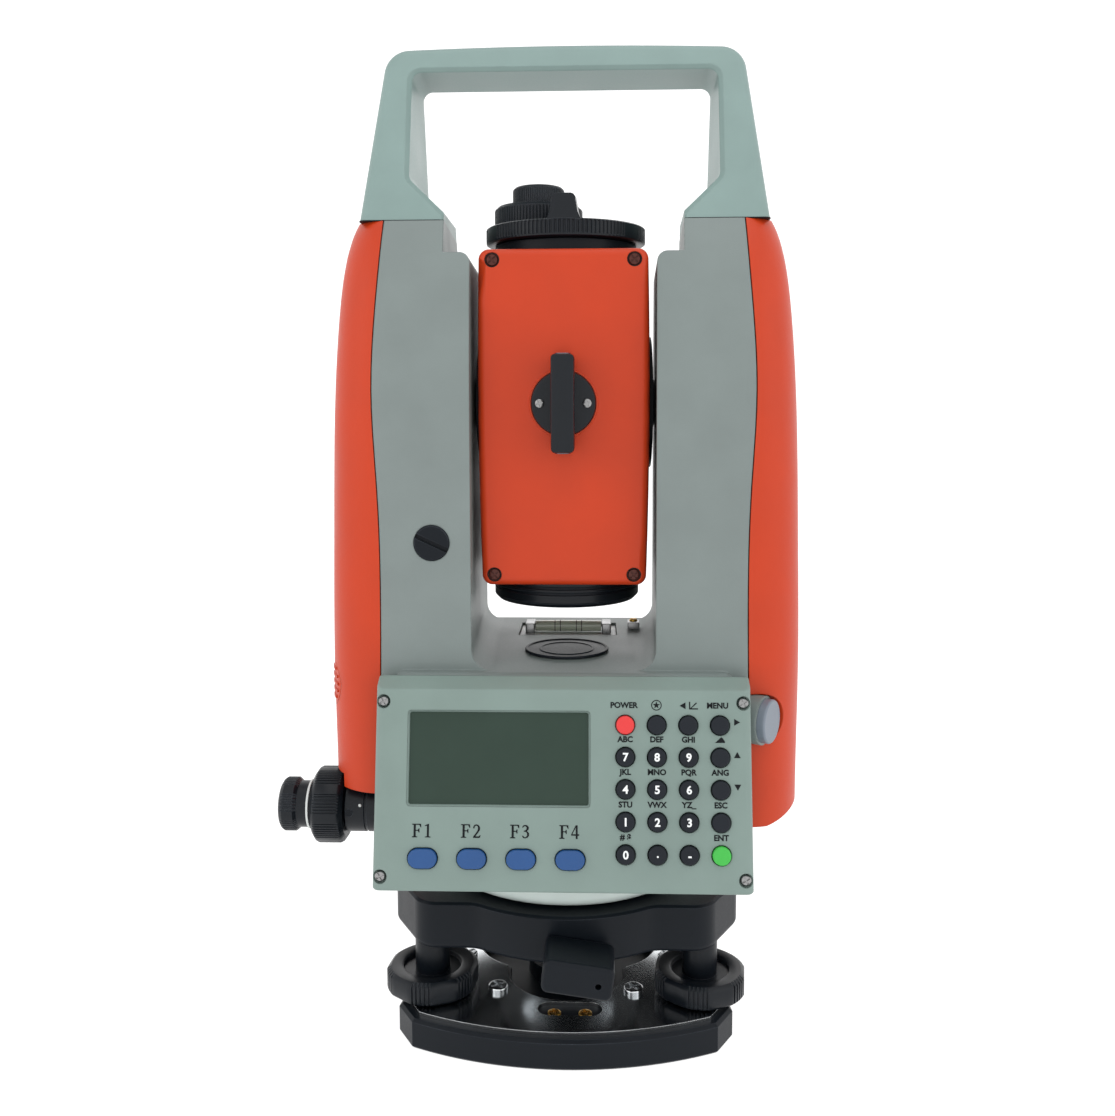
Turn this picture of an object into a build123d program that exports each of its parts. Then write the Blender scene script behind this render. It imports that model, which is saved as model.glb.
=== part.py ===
"""Surveying total station on a tribrach, as separate pieces. Lengths are millimetres.

The origin is the centre of the tripod socket on the underside of the base plate, on the standing axis.
+Z is up, the keyboard faces -Y and +X is on the right of somebody who faces the keyboard.
"""

import os
from math import cos, radians, sin

from build123d import *

os.makedirs("parts", exist_ok=True)

# ---------------------------------------------------------------------------------------------
# Driving dimensions
# ---------------------------------------------------------------------------------------------
TOTAL_HEIGHT = 328.0
GAP = 0.3  # between pieces that only lie near each other
RUNNING_FIT = 0.05  # radial clearance of a shaft in its bore
LOOSE_FIT = 0.02  # between solids of one group

# Tribrach
THREAD_RADIUS = 6.75  # core of the 5/8 inch tripod thread
BASE_THICKNESS = 10.0
BASE_FRONT = (0.0, -56.0)  # middle of the bowed front edge
BASE_FRONT_END = (49.7, -45.0)
BASE_CORNER = (55.5, -35.5)  # where the cut front corner meets the bowed side
BASE_SIDE = (40.3, 19.0)  # a point on the bowed side
BASE_REAR = (9.5, 66.0)
FOOT_CIRCLE = 52.5  # distance of a foot screw from the standing axis
FOOT_ANGLES = {"foot_screw_left": 210, "foot_screw_right": 330, "foot_screw_rear": 90}
SIDE_ANGLES = (270, 30, 150)
SPRING_PLATE_THICKNESS = 1.2
SPRING_PLATE_INSET = 3.0
OPENING_RADIUS = 20.9
OPENING_OFFSET = 13.6
KNOB_RADIUS = 15.5
KNOB_BOTTOM = BASE_THICKNESS + SPRING_PLATE_THICKNESS + 0.5
KNOB_TOP = 19.6
SLEEVE_RADIUS = 5.8
SLEEVE_TOP = 31.4
SPINDLE_RADIUS = 4.0
TILT_HEIGHT = 40.0  # height of both levelling axes
TRIBRACH_BOTTOM = 32.0
TRIBRACH_TOP = 48.0
TRIBRACH_SIDE = 42.0  # from the standing axis to a flat side
TRIBRACH_CORNER = 61.5
TRIBRACH_COLLAR = 51.0
STEM_RADIUS = 17.0  # centring stem in the tribrach's bore
CLAMP_X = 4.8  # the clamp knob's axis
CLAMP_Z = 36.3
CLAMP_SIZE = (21.8, 10.4)

LEVEL_DISTANCE = 46.8  # from the standing axis to the circular level's seat
LEVEL_ANGLE = 30
CLAMP_SHAFT = 3.0
FOOT_RADIUS = 5.0  # of the foot screws' ball feet
SPINDLE_TOP = 43.4
BUSH_RADIUS = 6.6
BUSH_LENGTH = 6.0
LOCK_RING_RADIUS = 21.6
WINDOW_CENTRE = (1.7, -39.4)
CIRCLE_HEIGHT = 56.0  # underside of the horizontal circle
POST_RADIUS = 10.0
POST_TOP = 84.0

# Alidade
DRUM_BOTTOM = TRIBRACH_TOP + 0.6
BODY_BOTTOM = 63.0
BODY_TOP = 268.8
FLOOR_TOP = 125.0
TRUNNION_Z = 210.0
ARM_TOP = 258.0
GAP_HALF_FRONT = 29.2
GAP_HALF_BACK = 32.5
POST_INNER_FRONT = 37.6
POST_INNER_BACK = 42.0
WALL = 2.6
# half width, half depth and corner radius of the rounded outline, at even steps up the body
BODY_SECTIONS = (
    (76.8, 39.4, 18.0),
    (77.1, 40.2, 18.0),
    (77.3, 40.8, 18.0),
    (77.2, 41.0, 18.0),
    (76.7, 41.0, 18.0),
    (76.2, 40.6, 18.0),
    (75.3, 39.4, 17.5),
    (73.5, 36.4, 16.0),
    (68.2, 27.0, 12.0),
)
COVER_BOTTOM = 73.5
COVER_FLAT = 65.5  # half width of the flat underside
FLANK = (90.0, 91.0)  # a point on the lower corner's arc, outside the form
FLANK_RADIUS = 44.0
# half distance between the seams of the two side covers, by height
SEAM = ((57.8, BODY_TOP), (58.6, 250.0), (60.4, 214.0), (58.8, 182.0), (58.6, 120.0), (58.6, BODY_BOTTOM))

DRUM_OPENING = 21.4
HOUSING_HALF_WIDTH = 54.0
HOUSING_HALF_DEPTH = 47.0
HOUSING_ROUNDING = 3.6  # of its upper edges
GAP_ROUNDING = 6.5  # where the arms rise from the floor
SEAM_GAP = 0.35  # between the yoke and a side cover
POCKET_INNER = 35.0  # of the hollow in each arm
POCKET_HALF_DEPTH = 30.0
PLUG_POINT = (-41.8, 166.0)
PLUG_RADIUS = 5.8
PLUG_DEPTH = 36.0
LEVEL_Y = 22.5
LEVEL_TRAY = (36.0, 22.0, 2.2)
BATTERY_Y = 11.0
BATTERY_Z = 113.0
BATTERY_SIZE = (42.0, 70.0)  # along Y and Z
LATCH_POINT = (-26.0, 118.0)
LATCH_RADIUS = 8.0

# Carry handle
HANDLE_BOTTOM_HALF = 66.3
HANDLE_TOP_HALF = 59.0
HANDLE_SHOULDER = TOTAL_HEIGHT - 1.2  # height of the arched top's ends
HANDLE_FOOT_HALF = 38.0  # half distance between the feet
HANDLE_FOOT_EDGE = BODY_TOP + 2.0
HANDLE_OPENING_HALF = 50.5
HANDLE_OPENING_BOTTOM = 283.0
HANDLE_OPENING_TOP = 319.2
HANDLE_DEPTH_BOTTOM = 26.6
HANDLE_DEPTH_TOP = 11.0

# Keyboard panel, measured on its sloping face
PANEL_TILT = 12.0
PANEL_ORIGIN = (0.0, -59.0, 92.2)
PANEL_HALF_WIDTH = 58.0
PANEL_HALF_HEIGHT = 30.3
PANEL_WALL = 2.4
PANEL_BACK = -47.0  # Y of the plane where the panel meets the yoke
KEY_PITCH = 9.65
KEY_COLUMN = 19.3
KEY_ROW = 19.9
KEY_RADIUS = 2.8
KEY_TRAVEL = 0.8
FUNCTION_KEY_SIZE = (8.9, 5.8)
FUNCTION_KEY_START = -42.5
FUNCTION_KEY_PITCH = 15.0
FUNCTION_KEY_ROW = -20.4
SCREEN_CENTRE = (-19.6, 9.5)
SCREEN_SIZE = (56.4, 29.0)
KEY_HEIGHT = 1.3
PANEL_SCREW_RADIUS = 1.75

# Data port, on the right behind the panel
PORT_ANGLE = 30.0  # of its axis, from +X towards -Y
PORT_BOSS_RADIUS = 7.8
PORT_BOSS_LENGTH = 9.2
PORT_CAP_RADIUS = 7.0

# Telescope
SCOPE_HALF_WIDTH = 27.6
SCOPE_HALF_DEPTH = 33.0
SCOPE_BOTTOM = 151.0
SCOPE_TOP = 259.0
TUBE_RADIUS = 22.0
OBJECTIVE_RADIUS = 25.0
OBJECTIVE_END = 142.0
FOCUS_RADIUS = 27.3
FOCUS_BOTTOM = 263.6
FOCUS_TOP = 269.3
EYEPIECE_X = -9.3
EYEPIECE_RADIUS = 14.8
EYEPIECE_TOP = 276.8
DIOPTER_RADIUS = 8.85
DIOPTER_TOP = 283.6
AXLE_RADIUS = 8.0
AXLE_BOSS_RADIUS = 11.0
AXLE_FLANGE_RADIUS = 22.5
AXLE_END = 50.0
CIRCLE_RADIUS = 27.0  # the vertical circle
FOCUS_BORE = 21.0
DIOPTER_BORE = 7.2
LENS_RADIUS = 19.0
LENS_CURVE = 80.0  # radius of the objective's front
LUG_TOP = 277.3
LUG_DEPTH = 4.6
COVER_SCREWS = [(x, z) for x in (-22.6, 22.6) for z in (154.6, 255.4)]
SIGHT_RADIUS = 10.4
SIGHT_TUBE = (7.2, 30.6, 12.0)  # width, length and height

# Drives
BARREL_RADIUS = 8.9
BARREL_LENGTH = 23.3
CLAMP_RING_RADIUS = 12.6
CLAMP_RING_LENGTH = 10.8
TANGENT_RADIUS = 8.9
TANGENT_LENGTH = 6.6
TANGENT_NECK = 5.4  # between the clamp ring and the knob's head

# ---------------------------------------------------------------------------------------------
# Planes and places worked out from them
# ---------------------------------------------------------------------------------------------
PANEL = Plane(
    origin=PANEL_ORIGIN,
    x_dir=(1, 0, 0),
    z_dir=(0, -cos(radians(PANEL_TILT)), sin(radians(PANEL_TILT))),
)
HORIZONTAL_DRIVE = Plane(origin=(-50.0, -25.0, 74.5), x_dir=(0, -1, 0), z_dir=(-1, 0, 0))
VERTICAL_DRIVE = Plane(origin=(-42.0, 24.0, 166.0), x_dir=(1, 0, 0), z_dir=(0, 1, 0))
PORT = Plane(
    origin=(55.8, -37.5, 109.5),
    x_dir=(0, 0, 1),
    z_dir=(cos(radians(PORT_ANGLE)), -sin(radians(PORT_ANGLE)), 0),
)
CLAMP = Plane(origin=(CLAMP_X, -TRIBRACH_COLLAR, CLAMP_Z), x_dir=(1, 0, 0), z_dir=(0, -1, 0))
LEVEL_SEAT = Plane(
    origin=(LEVEL_DISTANCE * cos(radians(LEVEL_ANGLE)), LEVEL_DISTANCE * sin(radians(LEVEL_ANGLE)), 40.0),
    x_dir=(cos(radians(LEVEL_ANGLE)), sin(radians(LEVEL_ANGLE)), 0),
    z_dir=(0, 0, 1),
)
BASE_ALIGN = (Align.CENTER, Align.CENTER, Align.MIN)
KEY_COLUMNS = [KEY_COLUMN + KEY_PITCH * n for n in range(4)]
KEY_ROWS = [KEY_ROW - KEY_PITCH * n for n in range(5)]
KEY_NAMES = (
    ("key_power", "key_star", "key_angle", "key_menu"),
    ("key_7", "key_8", "key_9", "key_up"),
    ("key_4", "key_5", "key_6", "key_down"),
    ("key_1", "key_2", "key_3", "key_esc"),
    ("key_0", "key_dot", "key_minus", "key_enter"),
)
FUNCTION_KEYS = [FUNCTION_KEY_START + FUNCTION_KEY_PITCH * n for n in range(4)]
PANEL_SCREWS = [(u, v) for u in (-55.5, 55.5) for v in (-26.0, 26.6)]


def polar(radius, angle):
    """A point at a distance from the standing axis and an angle from +X."""
    return radius * cos(radians(angle)), radius * sin(radians(angle))


FOOT_POINTS = {name: polar(FOOT_CIRCLE, angle) for name, angle in FOOT_ANGLES.items()}


# ---------------------------------------------------------------------------------------------
# Shapes that several pieces share
# ---------------------------------------------------------------------------------------------
def mirrored(point):
    """The same point on the other side of the YZ plane."""
    return -point[0], point[1]


def base_outline():
    """The base plate's outline: three bowed sides and three cut corners."""
    with BuildSketch() as outline:
        with BuildLine():
            ThreePointArc(mirrored(BASE_FRONT_END), BASE_FRONT, BASE_FRONT_END)
            Line(BASE_FRONT_END, BASE_CORNER)
            ThreePointArc(BASE_CORNER, BASE_SIDE, BASE_REAR)
            Line(BASE_REAR, mirrored(BASE_REAR))
            ThreePointArc(mirrored(BASE_REAR), mirrored(BASE_SIDE), mirrored(BASE_CORNER))
            Line(mirrored(BASE_CORNER), mirrored(BASE_FRONT_END))
        make_face()
    return outline.sketch


def cut_triangle(side, corner, rounding):
    """A triangle with flat sides at one distance from the axis and cut corners at another."""
    # half the length of a side, to where the cut corner's line crosses it
    half_side = (corner - side * cos(radians(60))) / sin(radians(60))
    points = []
    for angle in SIDE_ANGLES:
        for sign in (-1, 1):
            x, y = polar(side, angle)
            dx, dy = polar(half_side, angle + 90 * sign)
            points.append((x + dx, y + dy))
    with BuildSketch() as triangle:
        with BuildLine():
            Polyline(*points, close=True)
        make_face()
        fillet(triangle.vertices(), rounding)
    return triangle.sketch


def three_lobed_opening(radius):
    """The spring plate's opening: three overlapping discs round the axis."""
    with BuildSketch() as opening:
        with Locations(*[polar(OPENING_OFFSET, angle) for angle in SIDE_ANGLES]):
            Circle(radius)
    return opening.sketch


def body_form(inset=0.0):
    """The alidade's outer form, or its inside when it is inset by a wall."""
    step = (BODY_TOP - BODY_BOTTOM) / (len(BODY_SECTIONS) - 1)
    low = COVER_BOTTOM + inset
    high = BODY_TOP - inset
    reach = FLANK[0] - inset
    flank = (reach, FLANK[1])
    with BuildPart() as form:
        for number, (half_width, half_depth, corner) in enumerate(BODY_SECTIONS):
            with BuildSketch(Plane.XY.offset(BODY_BOTTOM + number * step)):
                RectangleRounded(2 * (half_width - inset), 2 * (half_depth - inset), corner - inset)
        loft()
        # rounded lower corners, and the top
        with BuildSketch(Plane.XZ):
            with BuildLine():
                Line((-COVER_FLAT, low), (COVER_FLAT, low))
                RadiusArc((COVER_FLAT, low), flank, -FLANK_RADIUS)
                Polyline(flank, (reach, high), (-reach, high), mirrored(flank))
                RadiusArc(mirrored(flank), (-COVER_FLAT, low), -FLANK_RADIUS)
            make_face()
        extrude(amount=60, both=True, mode=Mode.INTERSECT)
    return form.part


def seam_region(side, shift):
    """The block outside the seam on one side (-1 left, +1 right), moved outwards by shift."""
    points = [(side * (x + shift), z) for x, z in SEAM]
    with BuildPart() as region:
        with BuildSketch(Plane.XZ):
            with BuildLine():
                Spline(*points)
                Polyline(
                    points[-1],
                    (points[-1][0], BODY_BOTTOM - 10),
                    (side * 100, BODY_BOTTOM - 10),
                    (side * 100, BODY_TOP + 10),
                    (points[0][0], BODY_TOP + 10),
                    points[0],
                )
            make_face()
        extrude(amount=60, both=True)
    return region.part


def wedge(front_half, back_half):
    """The plan of a gap right through the body that is wider at the back than at the front."""
    with BuildSketch() as plan:
        with BuildLine():
            Polyline(
                (-front_half, -HOUSING_HALF_DEPTH),
                (front_half, -HOUSING_HALF_DEPTH),
                (back_half, HOUSING_HALF_DEPTH),
                (-back_half, HOUSING_HALF_DEPTH),
                close=True,
            )
        make_face()
    return plan.sketch


def screw(radius, height, shank_radius, shank_length):
    """A screw whose head stands on the local XY plane, with a cross or a single slot."""
    with BuildPart() as piece:
        Cylinder(radius, height, align=(Align.CENTER, Align.CENTER, Align.MIN))
        fillet(piece.faces().sort_by(Axis.Z)[-1].edges(), 0.35 * height)
        with Locations((0, 0, 0)):
            Cylinder(shank_radius, shank_length, align=(Align.CENTER, Align.CENTER, Align.MAX))
        # cross slots
        for angle in (35, 125):
            with Locations(Location((0, 0, height), (0, 0, angle))):
                Box(1.5 * radius, 0.28 * radius, height, mode=Mode.SUBTRACT)
    return piece.part


OUTER_FORM = body_form()
INNER_FORM = body_form(WALL)
BASE_OUTLINE = base_outline()
WELL_OUTLINE = three_lobed_opening(OPENING_RADIUS - 1.2)
OPENING_OUTLINE = three_lobed_opening(OPENING_RADIUS)
SPRING_PLATE_OUTLINE = offset(BASE_OUTLINE, -SPRING_PLATE_INSET)
TRIBRACH_OUTLINE = cut_triangle(TRIBRACH_SIDE, TRIBRACH_CORNER, 9.0)

# ---------------------------------------------------------------------------------------------
# Tribrach
# ---------------------------------------------------------------------------------------------
SCREW_POINTS = [polar(36.2, side + turn) for side in SIDE_ANGLES for turn in (-39.4, 39.4)]
PLATE_SCREW_SHANK = 1.5
PLATE_SCREW_LENGTH = 6.0

with BuildPart() as base_plate:
    add(BASE_OUTLINE)
    extrude(amount=BASE_THICKNESS)
    chamfer(base_plate.faces().sort_by(Axis.Z)[-1].edges(), 1.0)
    chamfer(base_plate.faces().sort_by(Axis.Z)[0].edges(), 0.8)
    # well under the spring plate's opening, round the threaded boss
    with BuildSketch(Plane.XY.offset(BASE_THICKNESS)):
        add(WELL_OUTLINE)
        Circle(14.0, mode=Mode.SUBTRACT)
    extrude(amount=-6.0, mode=Mode.SUBTRACT)
    # sockets for the ball feet
    with Locations(*[(x, y, BASE_THICKNESS) for x, y in FOOT_POINTS.values()]):
        Hole(FOOT_RADIUS + RUNNING_FIT, depth=6.0)
    with Locations((0, 0, BASE_THICKNESS)):
        Hole(THREAD_RADIUS)
    # holes for the spring plate's screws
    with Locations(*[(x, y, BASE_THICKNESS) for x, y in SCREW_POINTS]):
        Hole(PLATE_SCREW_SHANK + LOOSE_FIT, depth=PLATE_SCREW_LENGTH)
base_plate.part.label = "base_plate"
export_step(base_plate.part, "parts/base_plate.step")

PLATE_TOP = BASE_THICKNESS + SPRING_PLATE_THICKNESS
plate_screw = screw(3.3, 1.7, PLATE_SCREW_SHANK, PLATE_SCREW_LENGTH)
with BuildPart() as spring_plate:
    with BuildSketch(Plane.XY.offset(BASE_THICKNESS)):
        add(SPRING_PLATE_OUTLINE)
        add(OPENING_OUTLINE, mode=Mode.SUBTRACT)
        with Locations(*FOOT_POINTS.values()):
            Circle(FOOT_RADIUS + 0.4, mode=Mode.SUBTRACT)
        with Locations(*SCREW_POINTS):
            Circle(PLATE_SCREW_SHANK + RUNNING_FIT, mode=Mode.SUBTRACT)
        with Locations(WINDOW_CENTRE):
            SlotOverall(21.4, 8.0, mode=Mode.SUBTRACT)
    extrude(amount=SPRING_PLATE_THICKNESS)
    for x, y in SCREW_POINTS:
        add(Pos(x, y, PLATE_TOP + LOOSE_FIT) * plate_screw)
spring_plate.part.label = "spring_plate"
export_step(spring_plate.part, "parts/spring_plate.step")

for name, (x, y) in FOOT_POINTS.items():
    with BuildPart() as foot_screw:
        # ribbed knob with its dust sleeve
        with BuildSketch(Plane((x, y, KNOB_BOTTOM))):
            Circle(KNOB_RADIUS)
            RegularPolygon(KNOB_RADIUS - 0.6, 8, major_radius=False, mode=Mode.INTERSECT)
        extrude(amount=KNOB_TOP - KNOB_BOTTOM)
        chamfer(foot_screw.edges().group_by(Axis.Z)[-1], 0.8)
        chamfer(foot_screw.edges().group_by(Axis.Z)[0], 0.8)
        with BuildSketch(Plane((x, y, KNOB_TOP))):
            Circle(SLEEVE_RADIUS + 4.2)
        extrude(amount=-1.2, mode=Mode.SUBTRACT)
        with BuildSketch(Plane((x, y, KNOB_BOTTOM))):
            Circle(SLEEVE_RADIUS)
        extrude(amount=SLEEVE_TOP - KNOB_BOTTOM)
        with Locations((x, y, SLEEVE_TOP)):
            Hole(SPINDLE_RADIUS + LOOSE_FIT)
        # threaded spindle with its ball foot
        with BuildSketch(Plane((x, y, 4.2))):
            Circle(FOOT_RADIUS)
        extrude(amount=5.6)
        with BuildSketch(Plane((x, y, 4.2))):
            Circle(SPINDLE_RADIUS)
        extrude(amount=SPINDLE_TOP - 4.2)
    foot_screw.part.label = name
    export_step(foot_screw.part, f"parts/{name}.step")

with BuildPart() as thread_bushes:
    for name in ("foot_screw_left", "foot_screw_right"):
        with Locations((*FOOT_POINTS[name], TILT_HEIGHT)):
            Cylinder(BUSH_RADIUS, BUSH_LENGTH)
            Cylinder(SPINDLE_RADIUS + 0.25, BUSH_LENGTH, mode=Mode.SUBTRACT)
thread_bushes.part.label = "thread_bushes"
export_step(thread_bushes.part, "parts/thread_bushes.step")

with BuildPart() as tribrach_body:
    with BuildSketch(Plane.XY.offset(TRIBRACH_BOTTOM)):
        add(TRIBRACH_OUTLINE)
        Circle(TRIBRACH_COLLAR)
    extrude(amount=TRIBRACH_TOP - TRIBRACH_BOTTOM)
    # the collar runs smoothly into the lobes
    valleys = tribrach_body.edges().filter_by(Axis.Z).filter_by(
        lambda edge: abs(Vector(edge.center().X, edge.center().Y).length - TRIBRACH_COLLAR) < 0.5
    )
    fillet(valleys, 9.0)
    fillet(tribrach_body.faces().sort_by(Axis.Z)[0].edges(), 2.4)
    chamfer(tribrach_body.faces().sort_by(Axis.Z)[-1].edges(), 0.8)
    # bore for the centring stem, and the lock ring's chamber
    with Locations((0, 0, TRIBRACH_TOP)):
        Hole(STEM_RADIUS + RUNNING_FIT)
    with BuildSketch(Plane.XY.offset(TILT_HEIGHT - 2.7)):
        Circle(LOCK_RING_RADIUS + 0.4)
    extrude(amount=5.4, mode=Mode.SUBTRACT)
    # hollow underside
    with BuildSketch(Plane.XY.offset(TRIBRACH_BOTTOM)):
        Circle(TRIBRACH_COLLAR - 6.0)
        Circle(LOCK_RING_RADIUS + 3.4, mode=Mode.SUBTRACT)
        with Locations(*FOOT_POINTS.values()):
            Circle(11.5, mode=Mode.SUBTRACT)
        with Locations((CLAMP_X, -TRIBRACH_COLLAR / 2)):
            Rectangle(14.0, TRIBRACH_COLLAR, mode=Mode.SUBTRACT)
    extrude(amount=11.0, mode=Mode.SUBTRACT)
    # foot screw bores, with room for the sleeves and for the front bushes
    with Locations(*[(px, py, TRIBRACH_BOTTOM) for px, py in FOOT_POINTS.values()]):
        Cylinder(SLEEVE_RADIUS + 0.9, 4.4, align=BASE_ALIGN, mode=Mode.SUBTRACT)
        Cylinder(SPINDLE_RADIUS + 1.0, 14.6, align=BASE_ALIGN, mode=Mode.SUBTRACT)
    for name in ("foot_screw_left", "foot_screw_right"):
        with Locations((*FOOT_POINTS[name], TILT_HEIGHT)):
            Cylinder(BUSH_RADIUS + 0.35, BUSH_LENGTH + 0.8, mode=Mode.SUBTRACT)
    # bore for the clamp knob's shaft, and the seat of the circular level
    with BuildSketch(CLAMP):
        Circle(CLAMP_SHAFT + RUNNING_FIT)
    extrude(amount=-(TRIBRACH_COLLAR - LOCK_RING_RADIUS - 0.2), mode=Mode.SUBTRACT)
    with BuildSketch(LEVEL_SEAT):
        Rectangle(18.0, 20.0, align=(Align.MIN, Align.CENTER))
    extrude(amount=20.0, mode=Mode.SUBTRACT)
tribrach_body.part.label = "tribrach_body"
export_step(tribrach_body.part, "parts/tribrach_body.step")

with BuildPart() as lock_ring:
    with Locations((0, 0, TILT_HEIGHT)):
        Cylinder(LOCK_RING_RADIUS, 4.6)
        Cylinder(STEM_RADIUS + 0.35, 4.6, mode=Mode.SUBTRACT)
lock_ring.part.label = "lock_ring"
export_step(lock_ring.part, "parts/lock_ring.step")

with BuildPart() as clamp_knob:
    with BuildSketch(CLAMP.offset(1.2)):
        RectangleRounded(*CLAMP_SIZE, 2.2, rotation=-8)
    extrude(amount=15.8)
    fillet(clamp_knob.faces().sort_by(Axis.Y)[0].edges(), 1.2)
    with BuildSketch(CLAMP.offset(1.2)):
        Circle(CLAMP_SHAFT)
    extrude(amount=-(TRIBRACH_COLLAR - LOCK_RING_RADIUS + 0.6))
    # grub screw hole
    with BuildSketch(CLAMP.offset(17.0)):
        with Locations((6.2, -1.6)):
            Circle(1.0)
    extrude(amount=-3.0, mode=Mode.SUBTRACT)
clamp_knob.part.label = "clamp_knob"
export_step(clamp_knob.part, "parts/clamp_knob.step")

with BuildPart() as circular_level:
    with BuildSketch(LEVEL_SEAT):
        Rectangle(16.5, 16.0, align=(Align.MIN, Align.CENTER))
    extrude(amount=4.0)
    with BuildSketch(LEVEL_SEAT.offset(4.0)):
        with Locations((8.3, 0)):
            Circle(8.0)
    extrude(amount=7.0)
    with BuildSketch(LEVEL_SEAT.offset(5.0)):
        with Locations((8.3, 0)):
            Circle(6.4)
    extrude(amount=7.0, mode=Mode.SUBTRACT)
    # glass vial
    with BuildSketch(LEVEL_SEAT.offset(5.0 + LOOSE_FIT)):
        with Locations((8.3, 0)):
            Circle(6.4 - LOOSE_FIT)
    extrude(amount=5.4)
circular_level.part.label = "circular_level"
export_step(circular_level.part, "parts/circular_level.step")

with BuildPart() as vertical_spindle:
    with BuildSketch(Plane.XY.offset(TRIBRACH_BOTTOM + 2.0)):
        Circle(STEM_RADIUS)
    extrude(amount=TRIBRACH_TOP - TRIBRACH_BOTTOM - 2.0)
    with BuildSketch(Plane.XY.offset(TRIBRACH_TOP)):
        Circle(STEM_RADIUS + 3.0)
    extrude(amount=2.0)
    with BuildSketch(Plane.XY.offset(TRIBRACH_TOP + 2.0)):
        Circle(STEM_RADIUS - 3.0)
    extrude(amount=CIRCLE_HEIGHT - TRIBRACH_TOP - 2.0)
    with BuildSketch(Plane.XY.offset(CIRCLE_HEIGHT)):
        Circle(POST_RADIUS)
    extrude(amount=POST_TOP - CIRCLE_HEIGHT)
    # the horizontal circle's glass disc
    with BuildSketch(Plane.XY.offset(CIRCLE_HEIGHT + LOOSE_FIT)):
        Circle(36.0)
        Circle(POST_RADIUS + LOOSE_FIT, mode=Mode.SUBTRACT)
    extrude(amount=2.4)
vertical_spindle.part.label = "vertical_spindle"
export_step(vertical_spindle.part, "parts/vertical_spindle.step")

# ---------------------------------------------------------------------------------------------
# Alidade: housing, covers and handle
# ---------------------------------------------------------------------------------------------
with BuildPart() as base_drum:
    with BuildSketch(Plane.XZ):
        with BuildLine():
            Polyline((DRUM_OPENING, DRUM_BOTTOM), (43.5, DRUM_BOTTOM))
            ThreePointArc((43.5, DRUM_BOTTOM), (45.6, 49.8), (46.4, 52.4))
            Polyline(
                (46.4, 52.4),
                (46.4, BODY_BOTTOM),
                (40.5, BODY_BOTTOM),
                (40.5, DRUM_BOTTOM + 2.6),
                (DRUM_OPENING, DRUM_BOTTOM + 2.6),
                (DRUM_OPENING, DRUM_BOTTOM),
            )
        make_face()
    revolve(axis=Axis.Z)
base_drum.part.label = "base_drum"
export_step(base_drum.part, "parts/base_drum.step")

LEFT_REGION = seam_region(-1, 0.0)
RIGHT_REGION = seam_region(1, 0.0)
LEFT_COVER_REGION = seam_region(-1, SEAM_GAP)
RIGHT_COVER_REGION = seam_region(1, SEAM_GAP)
ARM_MIDDLE = (FLOOR_TOP + ARM_TOP) / 2

with BuildPart() as lower_housing:
    with BuildSketch(Plane.XY.offset(BODY_BOTTOM)):
        RectangleRounded(2 * HOUSING_HALF_WIDTH, 2 * HOUSING_HALF_DEPTH, 5.0)
    extrude(amount=FLOOR_TOP - BODY_BOTTOM)
    fillet(lower_housing.faces().sort_by(Axis.Z)[-1].edges(), HOUSING_ROUNDING)

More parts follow.
